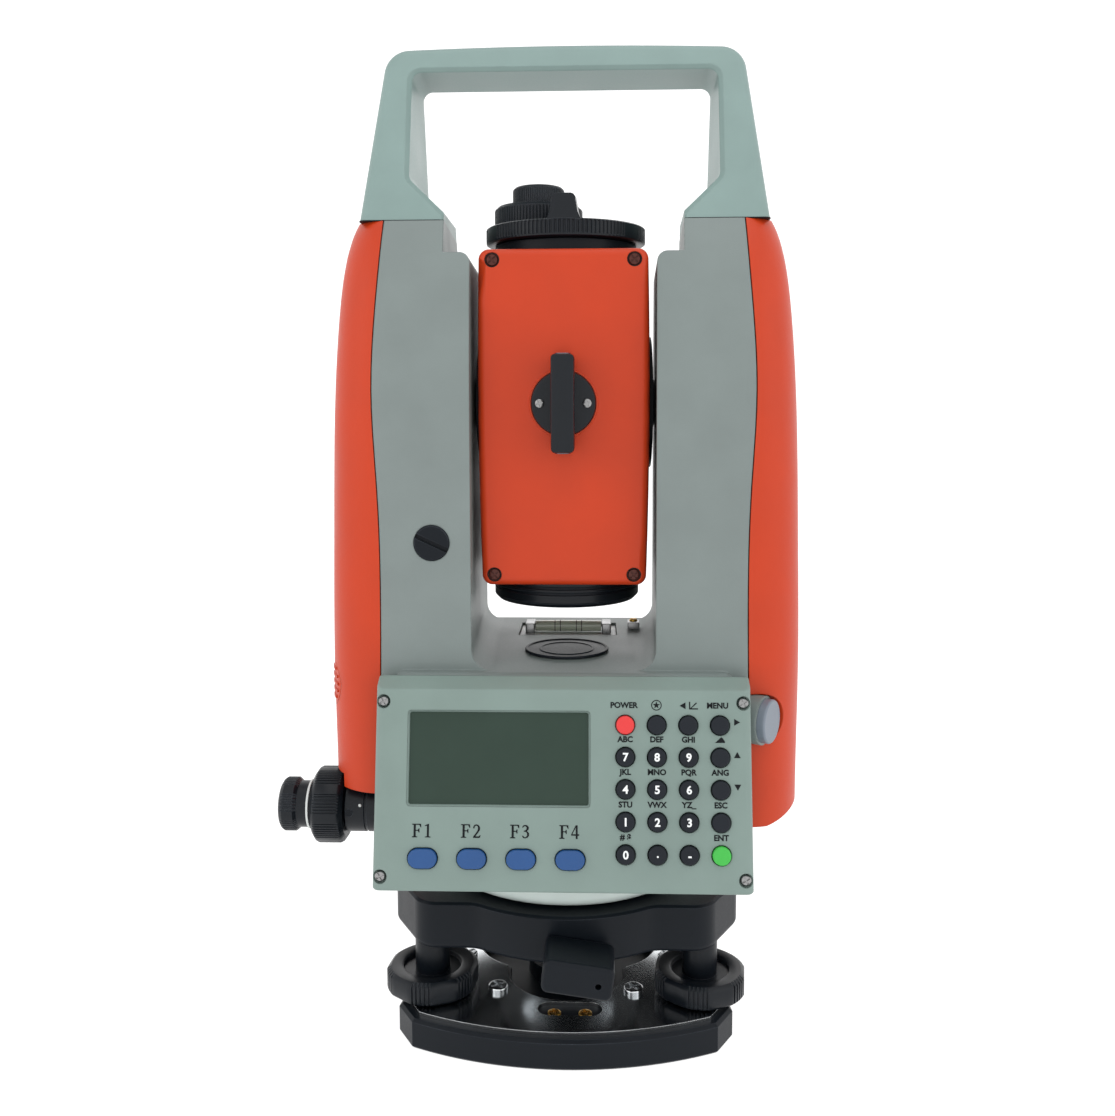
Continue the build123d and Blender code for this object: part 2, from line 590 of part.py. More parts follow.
with BuildPart() as yoke_frame:
    add(OUTER_FORM)
    add(LEFT_REGION, mode=Mode.SUBTRACT)
    add(RIGHT_REGION, mode=Mode.SUBTRACT)
    # the lower housing is deeper than the arms
    add(lower_housing.part)
    # gap between the arms, a little wider at the back, and the wider gap between the posts
    with BuildSketch(Plane.XY.offset(FLOOR_TOP)):
        add(wedge(GAP_HALF_FRONT, GAP_HALF_BACK))
    extrude(amount=BODY_TOP - FLOOR_TOP, mode=Mode.SUBTRACT)
    with BuildSketch(Plane.XY.offset(ARM_TOP)):
        add(wedge(POST_INNER_FRONT, POST_INNER_BACK))
    extrude(amount=30, mode=Mode.SUBTRACT)
    shoulder_edges = (
        yoke_frame.edges()
        .filter_by(lambda e: abs(e.center().Z - ARM_TOP) < 0.1 and 28 < abs(e.center().X) < 33)
        .filter_by(GeomType.LINE)
    )
    fillet(shoulder_edges, 3.4)
    foot_edges = yoke_frame.edges().filter_by(
        lambda e: abs(e.center().Z - FLOOR_TOP) < 0.1
        and GAP_HALF_FRONT < abs(e.center().X) < GAP_HALF_BACK
        and abs(e.center().Y) < 30
    )
    fillet(foot_edges, GAP_ROUNDING)
    # central cavity and the arms' pockets, which the side covers close
    with BuildSketch(Plane.XY.offset(FLOOR_TOP - 4.0)):
        Rectangle(2 * (HOUSING_HALF_WIDTH - 3.4), 2 * (HOUSING_HALF_DEPTH - 3.4))
    extrude(amount=-(FLOOR_TOP - 4.0 - BODY_BOTTOM - 3.0), mode=Mode.SUBTRACT)
    with BuildSketch(Plane.XY.offset(FLOOR_TOP - 4.0)):
        Rectangle(2 * 57.6, 2 * 32.0)
    extrude(amount=-(FLOOR_TOP - 4.0 - COVER_BOTTOM - 3.0), mode=Mode.SUBTRACT)
    for side in (-1, 1):
        with BuildSketch(Plane.XZ):
            with Locations((side * POCKET_INNER, ARM_MIDDLE)):
                outwards = Align.MIN if side > 0 else Align.MAX
                Rectangle(60, ARM_TOP - FLOOR_TOP - 8.0, align=(outwards, Align.CENTER))
        extrude(amount=POCKET_HALF_DEPTH, both=True, mode=Mode.SUBTRACT)
        with BuildSketch(Plane.YZ.offset(side * POCKET_INNER)):
            with Locations((0, TRUNNION_Z)):
                Circle(14.0)
        extrude(amount=side * 10.0)
    with BuildSketch(Plane.YZ):
        with Locations((0, TRUNNION_Z)):
            Circle(AXLE_RADIUS + RUNNING_FIT)
    extrude(amount=60, both=True, mode=Mode.SUBTRACT)
    # hub for the standing axis
    with BuildSketch(Plane.XY.offset(BODY_BOTTOM)):
        Circle(POST_RADIUS + 6.0)
    extrude(amount=POST_TOP - BODY_BOTTOM)
    with Locations((0, 0, POST_TOP)):
        Hole(POST_RADIUS + RUNNING_FIT, depth=POST_TOP - BODY_BOTTOM)
    # bores for the two drives and the slotted plug
    with BuildSketch(HORIZONTAL_DRIVE):
        Circle(BARREL_RADIUS)
    extrude(amount=20, mode=Mode.SUBTRACT)
    with BuildSketch(VERTICAL_DRIVE):
        Circle(BARREL_RADIUS)
    extrude(amount=30, mode=Mode.SUBTRACT)
    with BuildSketch(Plane.XZ.offset(30)):
        with Locations(PLUG_POINT):
            Circle(PLUG_RADIUS)
    extrude(amount=20, mode=Mode.SUBTRACT)
    # tray for the plate level
    with Locations((0, LEVEL_Y, FLOOR_TOP)):
        Box(LEVEL_TRAY[0], LEVEL_TRAY[1], 2 * LEVEL_TRAY[2], mode=Mode.SUBTRACT)
    # boss for the data port
    with BuildSketch(PORT.offset(-6.0)):
        Circle(PORT_BOSS_RADIUS)
    extrude(amount=PORT_BOSS_LENGTH + 6.0)
    with BuildSketch(PORT.offset(1.0)):
        Circle(PORT_BOSS_RADIUS - 2.4 + RUNNING_FIT)
    extrude(amount=20.0, mode=Mode.SUBTRACT)
    with Locations((PANEL_HALF_WIDTH + GAP, PANEL_BACK, 110)):
        Box(40, 30, 40, align=(Align.MAX, Align.MAX, Align.CENTER), mode=Mode.SUBTRACT)
    # tapped holes for the handle's screws
    for side in (-1, 1):
        with Locations((side * 54.0, 0, BODY_TOP)):
            Hole(2.0, depth=9.0)
yoke_frame.part.label = "yoke_frame"
export_step(yoke_frame.part, "parts/yoke_frame.step")

DRIVE_NOTCH = CLAMP_RING_RADIUS + 1.0
with BuildPart() as left_cover:
    add(OUTER_FORM)
    add(INNER_FORM, mode=Mode.SUBTRACT)
    add(LEFT_COVER_REGION, mode=Mode.INTERSECT)
    # notch round the horizontal drive, open to the front and below
    for start, length, radius in ((8.0, 16.0, BARREL_RADIUS + GAP), (23.0, 30.0, DRIVE_NOTCH)):
        with BuildSketch(HORIZONTAL_DRIVE.offset(start)):
            Circle(radius)
            with Locations((0, radius)):
                Rectangle(60, 60, align=(Align.MIN, Align.MAX))
            with Locations((-radius, 0)):
                Rectangle(60 + radius, 60, align=(Align.MIN, Align.MAX))
        extrude(amount=length, mode=Mode.SUBTRACT)
    # opening for the battery and for its press button
    with Locations((-90, BATTERY_Y, BATTERY_Z)):
        Box(60, BATTERY_SIZE[0] + 0.8, BATTERY_SIZE[1] + 0.8, mode=Mode.SUBTRACT)
    with BuildSketch(Plane.YZ.offset(-66)):
        with Locations(LATCH_POINT):
            Circle(LATCH_RADIUS + GAP)
    extrude(amount=-30, mode=Mode.SUBTRACT)
left_cover.part.label = "left_cover"
export_step(left_cover.part, "parts/left_cover.step")

with BuildPart() as right_cover:
    add(OUTER_FORM)
    add(INNER_FORM, mode=Mode.SUBTRACT)
    add(RIGHT_COVER_REGION, mode=Mode.INTERSECT)
    with BuildSketch(PORT.offset(-10)):
        Circle(PORT_BOSS_RADIUS + GAP)
    extrude(amount=40, mode=Mode.SUBTRACT)
right_cover.part.label = "right_cover"
export_step(right_cover.part, "parts/right_cover.step")

with BuildPart() as carry_handle:
    # front outline: legs that lean in and a gently arched grip
    with BuildSketch(Plane.XZ):
        with BuildLine():
            Polyline(
                (-HANDLE_TOP_HALF, HANDLE_SHOULDER),
                (-HANDLE_BOTTOM_HALF, BODY_TOP),
                (-HANDLE_FOOT_HALF, BODY_TOP),
                (-HANDLE_FOOT_HALF, HANDLE_FOOT_EDGE),
                (-HANDLE_OPENING_HALF, HANDLE_OPENING_BOTTOM),
                (-HANDLE_OPENING_HALF, HANDLE_OPENING_TOP),
                (HANDLE_OPENING_HALF, HANDLE_OPENING_TOP),
                (HANDLE_OPENING_HALF, HANDLE_OPENING_BOTTOM),
                (HANDLE_FOOT_HALF, HANDLE_FOOT_EDGE),
                (HANDLE_FOOT_HALF, BODY_TOP),
                (HANDLE_BOTTOM_HALF, BODY_TOP),
                (HANDLE_TOP_HALF, HANDLE_SHOULDER),
            )
            ThreePointArc(
                (HANDLE_TOP_HALF, HANDLE_SHOULDER),
                (0, TOTAL_HEIGHT),
                (-HANDLE_TOP_HALF, HANDLE_SHOULDER),
            )
        make_face()
    extrude(amount=40, both=True)
    # side outline: the legs narrow towards the grip
    with BuildSketch(Plane.YZ):
        with BuildLine():
            Polyline(
                (-HANDLE_DEPTH_BOTTOM, BODY_TOP),
                (HANDLE_DEPTH_BOTTOM, BODY_TOP),
                (HANDLE_DEPTH_TOP, TOTAL_HEIGHT + 1),
                (-HANDLE_DEPTH_TOP, TOTAL_HEIGHT + 1),
                close=True,
            )
        make_face()
    extrude(amount=80, both=True, mode=Mode.INTERSECT)
    # rounded corners, from the top down to the feet
    for height, within, radius in (
        (HANDLE_SHOULDER, HANDLE_BOTTOM_HALF, 8.5),
        (HANDLE_OPENING_TOP, HANDLE_OPENING_HALF + 1, 3.4),
        (HANDLE_OPENING_BOTTOM, HANDLE_OPENING_HALF + 1, 4.0),
        (HANDLE_FOOT_EDGE, HANDLE_FOOT_HALF + 1, 1.8),
    ):
        corner_edges = carry_handle.edges().filter_by(Axis.Y)
        fillet(
            corner_edges.filter_by(
                lambda e: abs(e.center().Z - height) < 0.5 and abs(e.center().X) < within
            ),
            radius,
        )
    outer_edges = carry_handle.edges().filter_by(
        lambda e: e.center().Z > BODY_TOP + 1
        and (abs(e.center().X) > HANDLE_OPENING_HALF + 3 or e.center().Z > HANDLE_OPENING_TOP + 4)
    )
    fillet(outer_edges.filter_by(lambda e: abs(e.center().Y) > 5), 3.0)
    opening_edges = carry_handle.edges().filter_by(
        lambda e: abs(e.center().Y) > 5
        and abs(e.center().X) < HANDLE_OPENING_HALF + 0.5
        and HANDLE_FOOT_EDGE + 1 < e.center().Z < HANDLE_OPENING_TOP + 0.5
    )
    chamfer(opening_edges, 1.4)
carry_handle.part.label = "carry_handle"
export_step(carry_handle.part, "parts/carry_handle.step")

# ---------------------------------------------------------------------------------------------
# Alidade: keyboard panel and what it carries
# ---------------------------------------------------------------------------------------------
PANEL_TOP_EDGE = PANEL.from_local_coords((0, PANEL_HALF_HEIGHT, 0))
PANEL_BOTTOM_EDGE = PANEL.from_local_coords((0, -PANEL_HALF_HEIGHT, 0))
with BuildPart() as front_panel:
    with BuildSketch(Plane.YZ):
        with BuildLine():
            Polyline(
                (PANEL_TOP_EDGE.Y, PANEL_TOP_EDGE.Z),
                (PANEL_BACK, PANEL_TOP_EDGE.Z + 3.0),
                (PANEL_BACK, PANEL_BOTTOM_EDGE.Z - 2.0),
                (PANEL_BOTTOM_EDGE.Y, PANEL_BOTTOM_EDGE.Z),
                close=True,
            )
        make_face()
    extrude(amount=PANEL_HALF_WIDTH, both=True)
    sloping_face = front_panel.faces().sort_by(Axis(PANEL.origin, PANEL.z_dir))[-1]
    fillet(sloping_face.edges().filter_by(lambda e: abs(e.center().X) > PANEL_HALF_WIDTH - 1), 2.5)
    sloping_face = front_panel.faces().sort_by(Axis(PANEL.origin, PANEL.z_dir))[-1]
    fillet(sloping_face.edges(), 0.9)
    # hollow, open at the back
    with BuildSketch(PANEL.offset(-PANEL_WALL)):
        RectangleRounded(2 * (PANEL_HALF_WIDTH - 6.0), 2 * (PANEL_HALF_HEIGHT - 2.6), 1.5)
    extrude(amount=-30, mode=Mode.SUBTRACT)
    # window, keys' holes and the screws' recesses
    with BuildSketch(PANEL):
        with Locations(SCREEN_CENTRE):
            RectangleRounded(*SCREEN_SIZE, 1.2)
        with Locations(*[(u, v) for u in KEY_COLUMNS for v in KEY_ROWS]):
            Circle(KEY_RADIUS + GAP)
        with Locations(*[(u, FUNCTION_KEY_ROW) for u in FUNCTION_KEYS]):
            SlotOverall(FUNCTION_KEY_SIZE[0] + 2 * GAP, FUNCTION_KEY_SIZE[1] + 2 * GAP)
    extrude(amount=-PANEL_WALL, mode=Mode.SUBTRACT)
    with BuildSketch(PANEL):
        with Locations(*PANEL_SCREWS):
            Circle(PANEL_SCREW_RADIUS + 0.4)
    extrude(amount=-1.7, mode=Mode.SUBTRACT)
    with BuildSketch(PANEL):
        with Locations(*PANEL_SCREWS):
            Circle(1.0)
    extrude(amount=-4.5, mode=Mode.SUBTRACT)
front_panel.part.label = "front_panel"
export_step(front_panel.part, "parts/front_panel.step")

with BuildPart() as display_window:
    with BuildSketch(PANEL.offset(-PANEL_WALL)):
        with Locations(SCREEN_CENTRE):
            RectangleRounded(SCREEN_SIZE[0] + 3.0, SCREEN_SIZE[1] + 3.0, 1.5)
    extrude(amount=-1.6)
    with BuildSketch(PANEL.offset(-PANEL_WALL)):
        with Locations(SCREEN_CENTRE):
            RectangleRounded(SCREEN_SIZE[0] - 0.1, SCREEN_SIZE[1] - 0.1, 1.15)
    extrude(amount=PANEL_WALL - 0.9)
display_window.part.label = "display_window"
export_step(display_window.part, "parts/display_window.step")


def key(u, v, outline, flange):
    """A key: its cap stands out of the panel, and a flange behind the wall holds it in."""
    with BuildPart() as piece:
        with BuildSketch(PANEL.offset(-PANEL_WALL - 1.3)):
            with Locations((u, v)):
                add(flange)
        extrude(amount=0.9)
        with BuildSketch(PANEL.offset(-PANEL_WALL - 1.3)):
            with Locations((u, v)):
                add(outline)
        extrude(amount=PANEL_WALL + 1.3 + KEY_HEIGHT)
        cap = piece.faces().sort_by(Axis(PANEL.origin, PANEL.z_dir))[-1]
        fillet(cap.edges(), 0.6)
    return piece.part


with BuildSketch() as round_key:
    Circle(KEY_RADIUS)
with BuildSketch() as round_flange:
    Circle(KEY_RADIUS + 0.9)
with BuildSketch() as oval_key:
    SlotOverall(*FUNCTION_KEY_SIZE)
with BuildSketch() as oval_flange:
    SlotOverall(FUNCTION_KEY_SIZE[0] + 1.8, FUNCTION_KEY_SIZE[1] + 1.8)

for row, names in zip(KEY_ROWS, KEY_NAMES):
    for column, name in zip(KEY_COLUMNS, names):
        piece = key(column, row, round_key.sketch, round_flange.sketch)
        piece.label = name
        export_step(piece, f"parts/{name}.step")
for number, u in enumerate(FUNCTION_KEYS, start=1):
    piece = key(u, FUNCTION_KEY_ROW, oval_key.sketch, oval_flange.sketch)
    piece.label = f"key_f{number}"
    export_step(piece, f"parts/key_f{number}.step")

with BuildPart() as circuit_boards:
    # keyboard's board, behind the keys
    with BuildSketch(PANEL.offset(-PANEL_WALL - 4.1)):
        Rectangle(2 * (PANEL_HALF_WIDTH - 7.0), 2 * PANEL_HALF_HEIGHT - 16.0)
    extrude(amount=1.0)
    # main board in the right arm
    with BuildSketch(Plane.YZ.offset(53.0)):
        with Locations((0, 185.0)):
            Rectangle(52.0, 108.0)
    extrude(amount=1.6)
circuit_boards.part.label = "circuit_boards"
export_step(circuit_boards.part, "parts/circuit_boards.step")

panel_screw = screw(PANEL_SCREW_RADIUS, 1.2, 1.0 - LOOSE_FIT, 2.6)
handle_screw = screw(2.6, 2.0, 1.6, 5.0)
with BuildPart() as alidade_screws:
    for u, v in PANEL_SCREWS:
        add(PANEL.offset(-1.7 + LOOSE_FIT).location * Pos(u, v) * panel_screw)
    # slotted plug on the left arm
    with BuildSketch(Plane.XZ.offset(PLUG_DEPTH)):
        with Locations(PLUG_POINT):
            Circle(PLUG_RADIUS - LOOSE_FIT)
    extrude(amount=41.2 - PLUG_DEPTH)
    with BuildSketch(Plane.XZ.offset(41.2)):
        with Locations(PLUG_POINT):
            Rectangle(2.4 * PLUG_RADIUS, 1.5, rotation=-25)
    extrude(amount=-1.4, mode=Mode.SUBTRACT)
alidade_screws.part.label = "alidade_screws"
export_step(alidade_screws.part, "parts/alidade_screws.step")

with BuildPart() as plate_level:
    # holder in the floor's tray, and the glass vial lying in it
    with Locations((0, LEVEL_Y, FLOOR_TOP - LEVEL_TRAY[2])):
        Box(LEVEL_TRAY[0] - 0.4, LEVEL_TRAY[1] - 0.4, 1.2, align=BASE_ALIGN)
    vial_z = FLOOR_TOP - LEVEL_TRAY[2] + 1.2
    for end in (-1, 1):
        with Locations((end * 14.0, LEVEL_Y, vial_z)):
            Box(3.2, 9.0, 3.6, align=BASE_ALIGN)
    with BuildSketch(Plane.YZ.offset(-12.2)):
        with Locations((LEVEL_Y, vial_z + 2.2)):
            Circle(2.0)
    extrude(amount=24.4)
plate_level.part.label = "plate_level"
export_step(plate_level.part, "parts/plate_level.step")

with BuildPart() as data_port_cap:
    with BuildSketch(PORT.offset(PORT_BOSS_LENGTH)):
        Circle(PORT_CAP_RADIUS)
    extrude(amount=2.7)
    fillet(data_port_cap.faces().sort_by(Axis(PORT.origin, PORT.z_dir))[-1].edges(), 0.7)
    with BuildSketch(PORT.offset(PORT_BOSS_LENGTH)):
        Circle(PORT_BOSS_RADIUS - 2.4)
    extrude(amount=-5.0)
data_port_cap.part.label = "data_port_cap"
export_step(data_port_cap.part, "parts/data_port_cap.step")

# ---------------------------------------------------------------------------------------------
# Drives: a fixed barrel, a clamp ring that turns on its neck and a tangent knob in its bore
# ---------------------------------------------------------------------------------------------
NECK_RADIUS = 6.5
TANGENT_SHAFT = 3.0
RING_START = BARREL_LENGTH + GAP
RING_END = RING_START + CLAMP_RING_LENGTH


def barrel(plane):
    """The fixed sleeve, from inside the housing to the neck's end."""
    with BuildPart() as piece:
        with BuildSketch(plane):
            Circle(BARREL_RADIUS - LOOSE_FIT)
        extrude(amount=BARREL_LENGTH)
        with BuildSketch(plane.offset(BARREL_LENGTH)):
            Circle(NECK_RADIUS)
        extrude(amount=CLAMP_RING_LENGTH - 0.4)
        with BuildSketch(plane):
            Circle(TANGENT_SHAFT + RUNNING_FIT)
        extrude(amount=RING_END, mode=Mode.SUBTRACT)
    return piece.part


def clamp_ring(plane):
    """The outer ribbed ring."""
    with BuildPart() as piece:
        with BuildSketch(plane.offset(RING_START)):
            Circle(CLAMP_RING_RADIUS)
        extrude(amount=CLAMP_RING_LENGTH)
        chamfer(piece.edges().filter_by(GeomType.CIRCLE), 2.0)
        with BuildSketch(plane.offset(RING_START)):
            Circle(NECK_RADIUS + RUNNING_FIT)
        extrude(amount=CLAMP_RING_LENGTH, mode=Mode.SUBTRACT)
    return piece.part


def tangent_knob(plane):
    """The inner knob, with its shaft in the barrel's bore."""
    with BuildPart() as piece:
        with BuildSketch(plane.offset(RING_END + TANGENT_NECK)):
            Circle(TANGENT_RADIUS)
        extrude(amount=TANGENT_LENGTH)
        chamfer(piece.edges().filter_by(GeomType.CIRCLE), 1.3)
        with BuildSketch(plane.offset(RING_END + GAP)):
            Circle(TANGENT_RADIUS - 1.2)
        extrude(amount=TANGENT_NECK)
        with BuildSketch(plane.offset(4.0)):
            Circle(TANGENT_SHAFT)
        extrude(amount=RING_END)
    return piece.part


with BuildPart() as drive_barrels:
    add(barrel(HORIZONTAL_DRIVE))
    add(barrel(VERTICAL_DRIVE))
drive_barrels.part.label = "drive_barrels"
export_step(drive_barrels.part, "parts/drive_barrels.step")

for direction, plane in (("horizontal", HORIZONTAL_DRIVE), ("vertical", VERTICAL_DRIVE)):
    ring = clamp_ring(plane)
    ring.label = f"{direction}_clamp_ring"
    export_step(ring, f"parts/{direction}_clamp_ring.step")
    knob = tangent_knob(plane)
    knob.label = f"{direction}_tangent_knob"
    export_step(knob, f"parts/{direction}_tangent_knob.step")

# ---------------------------------------------------------------------------------------------
# Battery
# ---------------------------------------------------------------------------------------------
with BuildPart() as battery_pack:
    add(OUTER_FORM)
    with Locations((-64.5, BATTERY_Y, BATTERY_Z)):
        Box(
            40,
            BATTERY_SIZE[0],
            BATTERY_SIZE[1],
            align=(Align.MAX, Align.CENTER, Align.CENTER),
            mode=Mode.INTERSECT,
        )
battery_pack.part.label = "battery_pack"
export_step(battery_pack.part, "parts/battery_pack.step")

with BuildPart() as battery_latch:
    add(OUTER_FORM)
    with BuildSketch(Plane.YZ.offset(-68)):
        with Locations(LATCH_POINT):
            Circle(LATCH_RADIUS)
    extrude(amount=-30, mode=Mode.INTERSECT)
battery_latch.part.label = "battery_latch"
export_step(battery_latch.part, "parts/battery_latch.step")

# ---------------------------------------------------------------------------------------------
# Telescope, drawn pointing down: the eyepiece is at the top
# ---------------------------------------------------------------------------------------------
with BuildPart() as telescope_frame:
    with BuildSketch(Plane.XY.offset(OBJECTIVE_END + 6.0)):
        Circle(TUBE_RADIUS)
    extrude(amount=FOCUS_BOTTOM - GAP - OBJECTIVE_END - 6.0)
    with BuildSketch(Plane.XY.offset(SCOPE_TOP + GAP)):
        Circle(FOCUS_RADIUS - 3.0)
    extrude(amount=FOCUS_BOTTOM - 2 * GAP - SCOPE_TOP)
    # side bosses for the axles
    with BuildSketch(Plane.YZ):
        with Locations((0, TRUNNION_Z)):
            Circle(AXLE_BOSS_RADIUS)
    extrude(amount=SCOPE_HALF_WIDTH - 0.6, both=True)
    # neck that the focus ring turns on, and the eyepiece's base
    with BuildSketch(Plane.XY.offset(FOCUS_BOTTOM - GAP)):
        Circle(FOCUS_BORE)
    extrude(amount=FOCUS_TOP + GAP - FOCUS_BOTTOM + GAP)
    with BuildSketch(Plane.XY.offset(FOCUS_TOP + GAP)):
        with Locations((EYEPIECE_X, 0)):
            Circle(EYEPIECE_RADIUS)
    extrude(amount=EYEPIECE_TOP - FOCUS_TOP - GAP)
    chamfer(telescope_frame.faces().sort_by(Axis.Z)[-1].edges(), 1.0)
    with BuildSketch(Plane.XY.offset(EYEPIECE_TOP)):
        with Locations((EYEPIECE_X, 0)):
            Circle(DIOPTER_BORE)
    extrude(amount=DIOPTER_TOP - EYEPIECE_TOP - 1.2)
    # objective ring
    with BuildSketch(Plane.XY.offset(OBJECTIVE_END)):
        Circle(OBJECTIVE_RADIUS)
    extrude(amount=SCOPE_BOTTOM - GAP - OBJECTIVE_END)
    chamfer(telescope_frame.faces().sort_by(Axis.Z)[0].edges(), 1.2)
    # light path: wide at the objective, narrow at the eyepiece
    with BuildSketch(Plane.XY.offset(OBJECTIVE_END)):
        Circle(LENS_RADIUS + LOOSE_FIT)
    extrude(amount=FOCUS_BOTTOM - 6.0 - OBJECTIVE_END, mode=Mode.SUBTRACT)
    with BuildSketch(Plane.XY.offset(FOCUS_BOTTOM - 10)):
        with Locations((EYEPIECE_X, 0)):
            Circle(5.0 + LOOSE_FIT)
    extrude(amount=40, mode=Mode.SUBTRACT)
telescope_frame.part.label = "telescope_frame"
export_step(telescope_frame.part, "parts/telescope_frame.step")


def cover_form(inset):
    """The closed form of both covers together, with gently bowed sides."""
    half = SCOPE_HALF_WIDTH - inset
    low = SCOPE_BOTTOM + inset
    high = SCOPE_TOP - inset
    with BuildPart() as form:
        with BuildSketch(Plane.XZ):
            with BuildLine():
                Line((1.0 - half, low), (half - 1.0, low))
                ThreePointArc((half - 1.0, low), (half, 0.5 * (low + high)), (half - 0.6, high))
                Line((half - 0.6, high), (0.6 - half, high))
                ThreePointArc((0.6 - half, high), (-half, 0.5 * (low + high)), (1.0 - half, low))
            make_face()
        extrude(amount=SCOPE_HALF_DEPTH - inset, both=True)
        fillet(form.edges().filter_by(Axis.Y), 3.4)
        fillet(form.faces().sort_by(Axis.Y)[0].edges(), 2.6)
        fillet(form.faces().sort_by(Axis.Y)[-1].edges(), 2.6)
    return form.part


COVER_OUTER = cover_form(0.0)
COVER_INNER = cover_form(2.2)
with BuildPart() as telescope_covers:
    add(COVER_OUTER)
    add(COVER_INNER, mode=Mode.SUBTRACT)
    # the parting line between the front and the back cover
    Box(100, 0.2, 600, mode=Mode.SUBTRACT)
    with Locations((0, 0, SCOPE_BOTTOM - 5)):
        Cylinder(TUBE_RADIUS + GAP, SCOPE_TOP - SCOPE_BOTTOM + 10, align=BASE_ALIGN, mode=Mode.SUBTRACT)
    with BuildSketch(Plane.YZ):
        with Locations((0, TRUNNION_Z)):
            Circle(AXLE_BOSS_RADIUS + GAP)
    extrude(amount=60, both=True, mode=Mode.SUBTRACT)
    # recesses for the cover screws
    for facing in (-1, 1):
        with BuildSketch(Plane.XZ.offset(-facing * (SCOPE_HALF_DEPTH - 1.3))):
            with Locations(*COVER_SCREWS):
                Circle(2.4)
        extrude(amount=-facing * 3, mode=Mode.SUBTRACT)
telescope_covers.part.label = "telescope_covers"
export_step(telescope_covers.part, "parts/telescope_covers.step")

with BuildPart() as telescope_lenses:
    # objective, focusing lens and eyepiece lens
    with Locations((0, 0, OBJECTIVE_END + 2.6 + LENS_CURVE)):
        Sphere(LENS_CURVE)
    with Locations((0, 0, OBJECTIVE_END)):
        Cylinder(LENS_RADIUS, 9.0, align=BASE_ALIGN, mode=Mode.INTERSECT)
    with Locations((0, 0, 236.0)):
        Cylinder(LENS_RADIUS, 4.0)
    with Locations((EYEPIECE_X, 0, DIOPTER_TOP - 3.4)):
        Cylinder(5.0, 3.0)
telescope_lenses.part.label = "telescope_lenses"
export_step(telescope_lenses.part, "parts/telescope_lenses.step")

with BuildPart() as focus_ring:
    with BuildSketch(Plane.XY.offset(FOCUS_BOTTOM)):
        Circle(FOCUS_RADIUS)
    extrude(amount=FOCUS_TOP - FOCUS_BOTTOM)
    chamfer(focus_ring.edges().filter_by(GeomType.CIRCLE), 0.6)
    # wedge-shaped finger lug at the front
    with BuildSketch(Plane.XZ.offset(FOCUS_BORE + 1.0)):
        with BuildLine():
            Polyline(
                (-5.4, FOCUS_TOP - 1.0),
                (5.4, FOCUS_TOP - 1.0),
                (3.9, LUG_TOP),
                (-3.9, LUG_TOP),
                close=True,
            )
        make_face()
    extrude(amount=LUG_DEPTH)
    fillet(focus_ring.edges().filter_by(Axis.Y).filter_by(lambda e: e.center().Z > LUG_TOP - 0.1), 1.0)
    with Locations((0, 0, FOCUS_BOTTOM)):
        Cylinder(FOCUS_BORE + RUNNING_FIT, 20, align=BASE_ALIGN, mode=Mode.SUBTRACT)
focus_ring.part.label = "focus_ring"
export_step(focus_ring.part, "parts/focus_ring.step")

with BuildPart() as diopter_ring:
    with BuildSketch(Plane.XY.offset(EYEPIECE_TOP + GAP)):
        with Locations((EYEPIECE_X, 0)):
            Circle(DIOPTER_RADIUS)
    extrude(amount=DIOPTER_TOP - EYEPIECE_TOP - GAP)
    fillet(diopter_ring.faces().sort_by(Axis.Z)[-1].edges(), 1.0)
    with Locations((EYEPIECE_X, 0, EYEPIECE_TOP)):
        Cylinder(DIOPTER_BORE + RUNNING_FIT, 20, align=BASE_ALIGN, mode=Mode.SUBTRACT)
diopter_ring.part.label = "diopter_ring"
export_step(diopter_ring.part, "parts/diopter_ring.step")

sight_screw = screw(1.5, 0.8, 0.7, 0.4)
with BuildPart() as sight:
    # round foot standing on the local XY plane, and the sighting tube across it
    Cylinder(SIGHT_RADIUS, 2.0, align=BASE_ALIGN)
    fillet(sight.faces().sort_by(Axis.Z)[-1].edges(), 0.6)
    with BuildSketch(Plane.XY.offset(1.0)):
        RectangleRounded(SIGHT_TUBE[0], SIGHT_TUBE[1], 1.4)
    extrude(amount=SIGHT_TUBE[2])
    with Locations((0, 0, SIGHT_TUBE[2] - 3.2)):
        Cylinder(2.0, 2 * SIGHT_TUBE[1], rotation=(90, 0, 0), mode=Mode.SUBTRACT)
    for side in (-1, 1):
        with Locations((side * 7.6, 0, 2.0)):
            add(sight_screw.moved(Location((0, 0, LOOSE_FIT))))

with BuildPart() as collimator_sights:
    for facing in (-1, 1):
        seat = Plane(
            origin=(0, facing * (SCOPE_HALF_DEPTH + LOOSE_FIT), TRUNNION_Z),
            x_dir=(1, 0, 0),
            z_dir=(0, facing, 0),
        )
        add(seat.location * sight.part)
collimator_sights.part.label = "collimator_sights"
export_step(collimator_sights.part, "parts/collimator_sights.step")

with BuildPart() as trunnion_axles:
    for side in (-1, 1):
        start = SCOPE_HALF_WIDTH - 0.6
        with BuildSketch(Plane.YZ.offset(side * start)):
            with Locations((0, TRUNNION_Z)):
                Circle(AXLE_RADIUS)
        extrude(amount=side * (AXLE_END - start))
        with BuildSketch(Plane.YZ.offset(side * (SCOPE_HALF_WIDTH + 0.5))):
            with Locations((0, TRUNNION_Z)):
                Circle(AXLE_FLANGE_RADIUS)
        extrude(amount=side * 1.1)
    # the vertical circle's glass disc on the right axle
    with BuildSketch(Plane.YZ.offset(AXLE_END - 3.4)):
        with Locations((0, TRUNNION_Z)):
            Circle(CIRCLE_RADIUS)
            Circle(AXLE_RADIUS + LOOSE_FIT, mode=Mode.SUBTRACT)
    extrude(amount=2.4)
trunnion_axles.part.label = "trunnion_axles"
export_step(trunnion_axles.part, "parts/trunnion_axles.step")
